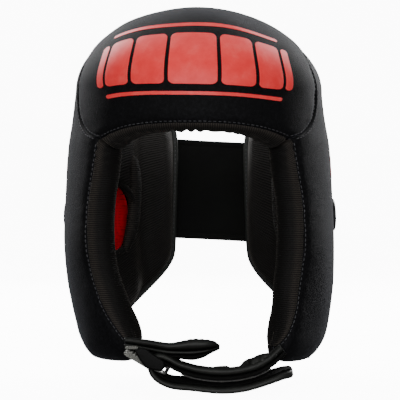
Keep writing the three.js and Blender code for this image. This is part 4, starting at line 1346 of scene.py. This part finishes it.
def flap_layer(name, upper, lower, inset, material, outline):
    """One layer of the flap, between two columns of its table."""
    layer = []
    for k in range(FLAP_COUNT + 1):
        share = k / FLAP_COUNT
        x = FLAP_ROWS[0][0] + (FLAP_ROWS[-1][0] - FLAP_ROWS[0][0]) * (1 - (1 - share) ** 1.4)
        high = read(FLAP_ROWS, upper, x)
        low = read(FLAP_ROWS, lower, x) if lower < 4 else high - read(FLAP_ROWS, 4, x) - 0.4
        tip = math.sqrt(max(0, 1 - max(0, (x - 5.9) / 12) ** 2))
        pucker = 0.5 * smoothstep(x, -14, 0) * crease(x * 0.75 + 0.4, 0.6) if upper == 1 else 0
        y = -86 - 6.5 * smoothstep(x, -47, -14)
        breadth = (STRAP_BREADTH / 2 - inset) * (0.25 + 0.75 * tip)
        middle = Vector((x, y, (high + low + pucker) / 2 - FLAP_TILT))
        thick = max((high + pucker - low) / 2, 0.3)
        layer.append((middle, Vector((0, -breadth, FLAP_TILT)), Vector((0, 0, thick))))
    piece = sweep(name, layer, outline)
    piece.data.materials.append(material)
    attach(piece, "root")
    return piece


flap = flap_layer("chin_flap_dressed", 1, 2, 0, skin, oval(36, 0.7))
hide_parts("chin_flap")
flap_layer("chin_flap_backing", 2, 3, 0.5, skin, oval(28, 0.6))
flap_layer("chin_flap_belly", 3, 4, 3, backing, oval(28, 0.9))


# The hook tape: rows of stiff nylon stubble under the strap's upper run, only just in view in the dark
# gap. A hook is missing here and there, where the tape is worn.
HOOK_ROWS = 9
HOOK_LENGTH = 0.9
HOOK_HALF_WIDTH = 0.24


def hook_tape():
    """Woven hook tape: black ground with short stiff pale hooks."""
    material, tree, shader = surface("hook tape", Roughness=0.5, IOR=1.53)
    tint(tree, shader, cells(tree, on_object(tree), 700.0), (0.2, "3c3c36"), (0.5, "1a1a17"))
    return material


points, faces = [], []
for i in range(16, 80):
    at, wide, inward, _ = strap_frames[i]
    down = inward * (read(STRAP_ROWS, 1, i / STRAP_COUNT) / 2)
    for row in range(HOOK_ROWS):
        for part in range(2):
            across = -0.86 + 0.2 * row + 0.05 * noise.noise(Vector((i * 1.7, row * 2.3, part)))
            if noise.noise(Vector((i * 0.9, row * 1.3, part + 5))) < -0.25:
                continue
            along = (strap_frames[i + 1][0] - at) * (0.5 * part)
            root = at + along + wide * -across + down * 0.98
            first = len(points)
            tip = root + down.normalized() * HOOK_LENGTH + Vector((0.25 * math.sin(i * 2.1 + row), 0, 0))
            for centre, radius in ((root, HOOK_HALF_WIDTH), (tip, HOOK_HALF_WIDTH * 0.7)):
                for k in range(4):
                    angle = math.pi / 4 + k * math.pi / 2
                    points.append(centre + Vector((radius * math.cos(angle), radius * math.sin(angle), 0)))
            for k in range(4):
                n = (k + 1) % 4
                faces.append((first + k, first + n, first + 4 + n, first + 4 + k))
            faces.append((first + 4, first + 5, first + 6, first + 7))
hooks = mesh_object("strap_hooks", points, faces, smooth=False)
hooks.data.materials.append(hook_tape())
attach(hooks, "root")


# The ring tab: doubled nylon webbing sewn to the left pad's corner, with a folded keeper plate of
# leatherette in front and the webbing's stitched raw end above it. It holds a small steel ring.
RING_WIRE = 2.6
RING_LENGTH = 36
RING_SIDE_CORNER = 3
TAB_HALF_THICKNESS = 1.9
KEEPER_THICKNESS = 2.6
BAR_STEPS = 10
ROUND_STEPS = 5
TAB_END_THICKNESS = 1.9
TAB_END_HALF_BREADTH = 13
STRAP_MIDDLE = -0.852 * FRONT_REACH
# seen from the front, as shares of the half width across and of the drop
TAB_ROOT = (-0.4465, -0.9426)
RING_NEAR = (-0.3, -0.979)
RING_FAR = (-0.184, -0.999)
# the keeper's face seen from the front, in millimetres
KEEPER_OUTLINE = [
    (-38.8, -221.2), (-36, -219.6), (-31.8, -219.6), (-26.1, -223.7), (-18.9, -228.7), (-18.2, -231.9),
    (-20.4, -235.2), (-25.1, -234.7), (-30.8, -233.6), (-34, -229.6), (-37, -224.8),
]


nylon_webbing = woven_tape("nylon webbing", "3a3a37", "70706b", "a8a8a2", 0.0013)


def from_front(place):
    return Vector((place[0] * HALF_WIDTH, 0, place[1] * GUARD_DROP))


def plate(name, outline, front, back, bevel, material):
    """A flat plate seen from the front, with rounded edges."""
    centre = sum(outline, Vector()) / len(outline)
    layers = []
    for y, inset in ((front, bevel * 2.2), (front + bevel * 0.1, bevel), (front + bevel * 0.5, bevel * 0.25),
                     (front + bevel, 0), (back - bevel, 0), (back - bevel * 0.4, bevel * 0.3), (back, bevel)):
        ring = []
        for point in outline:
            inward = centre - point
            ring.append(point + inward.normalized() * min(inset, inward.length * 0.5) + Vector((0, y, 0)))
        layers.append(ring)
    uvs = [(p.x / 1000, p.z / 1000) for ring in layers for p in ring] + [(0, 0), (0, 0)]
    piece = rings_mesh(name, layers, True, uvs)
    piece.data.materials.append(material)
    return piece


def bar_outline(start, end, radius):
    """A bar with round ends, seen from the front."""
    angle = math.atan2(end.z - start.z, end.x - start.x)
    outline = []
    for middle, turn in ((end, -math.pi / 2), (start, math.pi / 2)):
        for k in range(BAR_STEPS + 1):
            a = angle + turn + math.pi * k / BAR_STEPS
            outline.append(middle + Vector((radius * math.cos(a), 0, radius * math.sin(a))))
    return outline


def rounded(outline, radius):
    """The outline with its corners rounded."""
    full = []
    for k, corner in enumerate(outline):
        before, after = outline[k - 1], outline[(k + 1) % len(outline)]
        cut = min(radius, (before - corner).length * 0.45, (after - corner).length * 0.45)
        start = corner + (before - corner).normalized() * cut
        end = corner + (after - corner).normalized() * cut
        for j in range(ROUND_STEPS + 1):
            t = j / ROUND_STEPS
            full.append(start * (1 - t) ** 2 + corner * 2 * t * (1 - t) + end * t * t)
    return full


keeper_back = STRAP_MIDDLE - RING_LENGTH / 2 - RING_WIRE / 2 - GAP
tab_outline = bar_outline(from_front(TAB_ROOT), from_front(RING_NEAR), TAB_HALF_THICKNESS)
tab_back = STRAP_MIDDLE + STRAP_BREADTH / 2
tab = plate("ring_tab_dressed", tab_outline, keeper_back + 0.4, tab_back, 0.8, nylon_webbing)
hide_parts("ring_tab")
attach(tab, "root")
keeper_outline = rounded([Vector((x, 0, z)) for x, z in KEEPER_OUTLINE], 0.9)
# the keeper's leatherette is a darker, less shiny copy: painted shade on its face, which looks down away from
# the lights
keeper_skin_painted_shade = leatherette("keeper leatherette painted darker for shade", "040404", "080808", "0e0e0d", 0.1)
keeper = plate("ring_keeper", keeper_outline, keeper_back - KEEPER_THICKNESS, keeper_back, 0.9, keeper_skin_painted_shade)
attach(keeper, "root")
low = from_front(TAB_ROOT).z + TAB_HALF_THICKNESS + GAP
high = low + TAB_END_THICKNESS
corners = [Vector((x, 0, z)) for x, z in ((-46, low), (-37.5, low), (-37.5, high), (-46, high))]
tab_end = plate("flap_tab_dressed", rounded(corners, 0.7), STRAP_MIDDLE - TAB_END_HALF_BREADTH,
                STRAP_MIDDLE + TAB_END_HALF_BREADTH, 0.4, nylon_webbing)
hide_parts("flap_tab")
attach(tab_end, "root")


def ring_steel():
    """Drawn steel wire, nickel plated: bright, with faint rubbed scratches along the wire."""
    material, tree, shader = surface("plated steel wire", Metallic=1.0, Roughness=0.28)
    rubbed = speckle(tree, on_object(tree), 500.0, 4.0)
    tint(tree, shader, rubbed, (0.3, "9c9c9a"), (0.7, "c9c9c6"))
    wear(tree, shader, rubbed, 0.2, 0.42)
    return material


near, far = from_front(RING_NEAR), from_front(RING_FAR)
along, across = (far - near).normalized(), Vector((0, 1, 0))
normal = along.cross(across)
middle = (near + far) / 2 + Vector((0, STRAP_MIDDLE, 0))
half_long, half_short = RING_LENGTH / 2, (far - near).length / 2
rings = []
for sign_long, sign_short, start in ((1, 1, 0), (1, -1, 90), (-1, -1, 180), (-1, 1, 270)):
    corner = middle + across * sign_long * (half_long - RING_SIDE_CORNER)
    corner += along * sign_short * (half_short - RING_SIDE_CORNER)
    for k in range(7):
        angle = math.radians(start + 15 * k)
        out = along * math.cos(angle) + across * math.sin(angle)
        at = corner + out * RING_SIDE_CORNER
        rings.append([at + (out * a + normal * b) * (RING_WIRE / 2) for a, b in oval(16, 1)])
rings.append(rings[0])
ring = rings_mesh("chin_ring_dressed", rings, False)
ring.data.materials.append(ring_steel())
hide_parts("chin_ring")
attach(ring, "root")


# The studio: a pale floor that curves up into pale walls all round, so that every view has a plain
# background. Large soft lights stand above, in front and behind at both sides, and a very small one under
# the crown shows the tops of the rear pads. Sizes here are in metres.
FLOOR = cad_box[0].z - 0.0015
FLOOR_REACH = 1.8
COVE = 0.9
WALL_TOP = 2.4
FLOOR_SIDES = 72
WORLD_STRENGTH = 0.16


def pale_paper():
    """Matt white background paper, lit through from behind as on a light table, faintly uneven."""
    material, tree, shader = surface("background paper", Roughness=0.95, IOR=1.45, Emission_Strength=12.0)
    colour = ramp(tree, speckle(tree, on_object(tree), 3.0), (0.3, "f4f4f4"), (0.7, "f8f8f8"))
    tree.links.new(colour, shader.inputs["Base Color"])
    tree.links.new(colour, shader.inputs["Emission Color"])
    return material


profile = [(0.02, 0), (0.5, 0), (1.2, 0), (FLOOR_REACH, 0)]
for a in range(10, 91, 10):
    profile.append((FLOOR_REACH + COVE * math.sin(math.radians(a)), COVE - COVE * math.cos(math.radians(a))))
profile.append((FLOOR_REACH + COVE, WALL_TOP))
points = []
for radius, height in profile:
    for k in range(FLOOR_SIDES):
        angle = k * math.pi / 36
        points.append(Vector((radius * math.cos(angle), radius * math.sin(angle), height + FLOOR)) * 1000)
faces = [tuple(range(FLOOR_SIDES))]
for r in range(len(profile) - 1):
    low, high = r * FLOOR_SIDES, (r + 1) * FLOOR_SIDES
    for k in range(FLOOR_SIDES):
        n = (k + 1) % FLOOR_SIDES
        faces.append((low + k, low + n, high + n, high + k))
floor = mesh_object("studio_floor", points, faces)
floor.data.materials.append(pale_paper())
floor.visible_diffuse = False
floor.visible_glossy = False

world = bpy.data.worlds.new("studio air")
world.use_nodes = True
air = world.node_tree.nodes["Background"]
air.inputs["Color"].default_value = linear("ffffff")
air.inputs["Strength"].default_value = WORLD_STRENGTH
bpy.context.scene.world = world


def softbox(name, place, aim, size, power):
    """A rectangular soft light that the camera doesn't see, in metres and watts."""
    lamp = bpy.data.lights.new(name, "AREA")
    lamp.shape = "RECTANGLE"
    lamp.size, lamp.size_y = size
    lamp.energy = power
    box = bpy.data.objects.new(name, lamp)
    box.location = place
    box.rotation_euler = (Vector(aim) - Vector(place)).to_track_quat("-Z", "Y").to_euler()
    box.visible_camera = False
    bpy.context.scene.collection.objects.link(box)


softbox("top_softbox", (0, -0.2, 1.3), (0, 0, -0.05), (1.3, 0.9), 6)
softbox("front_softbox", (0, -2.0, 0.12), (0, 0, -0.1), (2.0, 1.0), 40)
softbox("left_softbox", (-0.8, 0.9, 0.7), (-0.06, 0, -0.02), (0.5, 1.0), 25)
softbox("right_softbox", (0.8, 1.0, 0.6), (0.06, 0, -0.04), (0.5, 1.1), 26)
softbox("inner_softbox", (0, 0.04, -0.056), (0, 0.1, -0.085), (0.1, 0.012), 0.045)

# The camera, level with the cheeks and a little to the viewer's right of straight ahead.
CAMERA_AZIMUTH = math.radians(2.3)
CAMERA_TURN = -0.0006
CAMERA_DISTANCE = 1.2
CAMERA_HEIGHT = -0.12
camera_data = bpy.data.cameras.new("camera")
camera_data.lens = 145.6
camera_data.sensor_width = 36
camera = bpy.data.objects.new("camera", camera_data)
camera.location = (
    CAMERA_DISTANCE * math.sin(CAMERA_AZIMUTH), -CAMERA_DISTANCE * math.cos(CAMERA_AZIMUTH), CAMERA_HEIGHT)
camera.rotation_euler = (math.radians(90), 0, CAMERA_AZIMUTH + CAMERA_TURN)
bpy.context.scene.collection.objects.link(camera)
bpy.context.scene.camera = camera
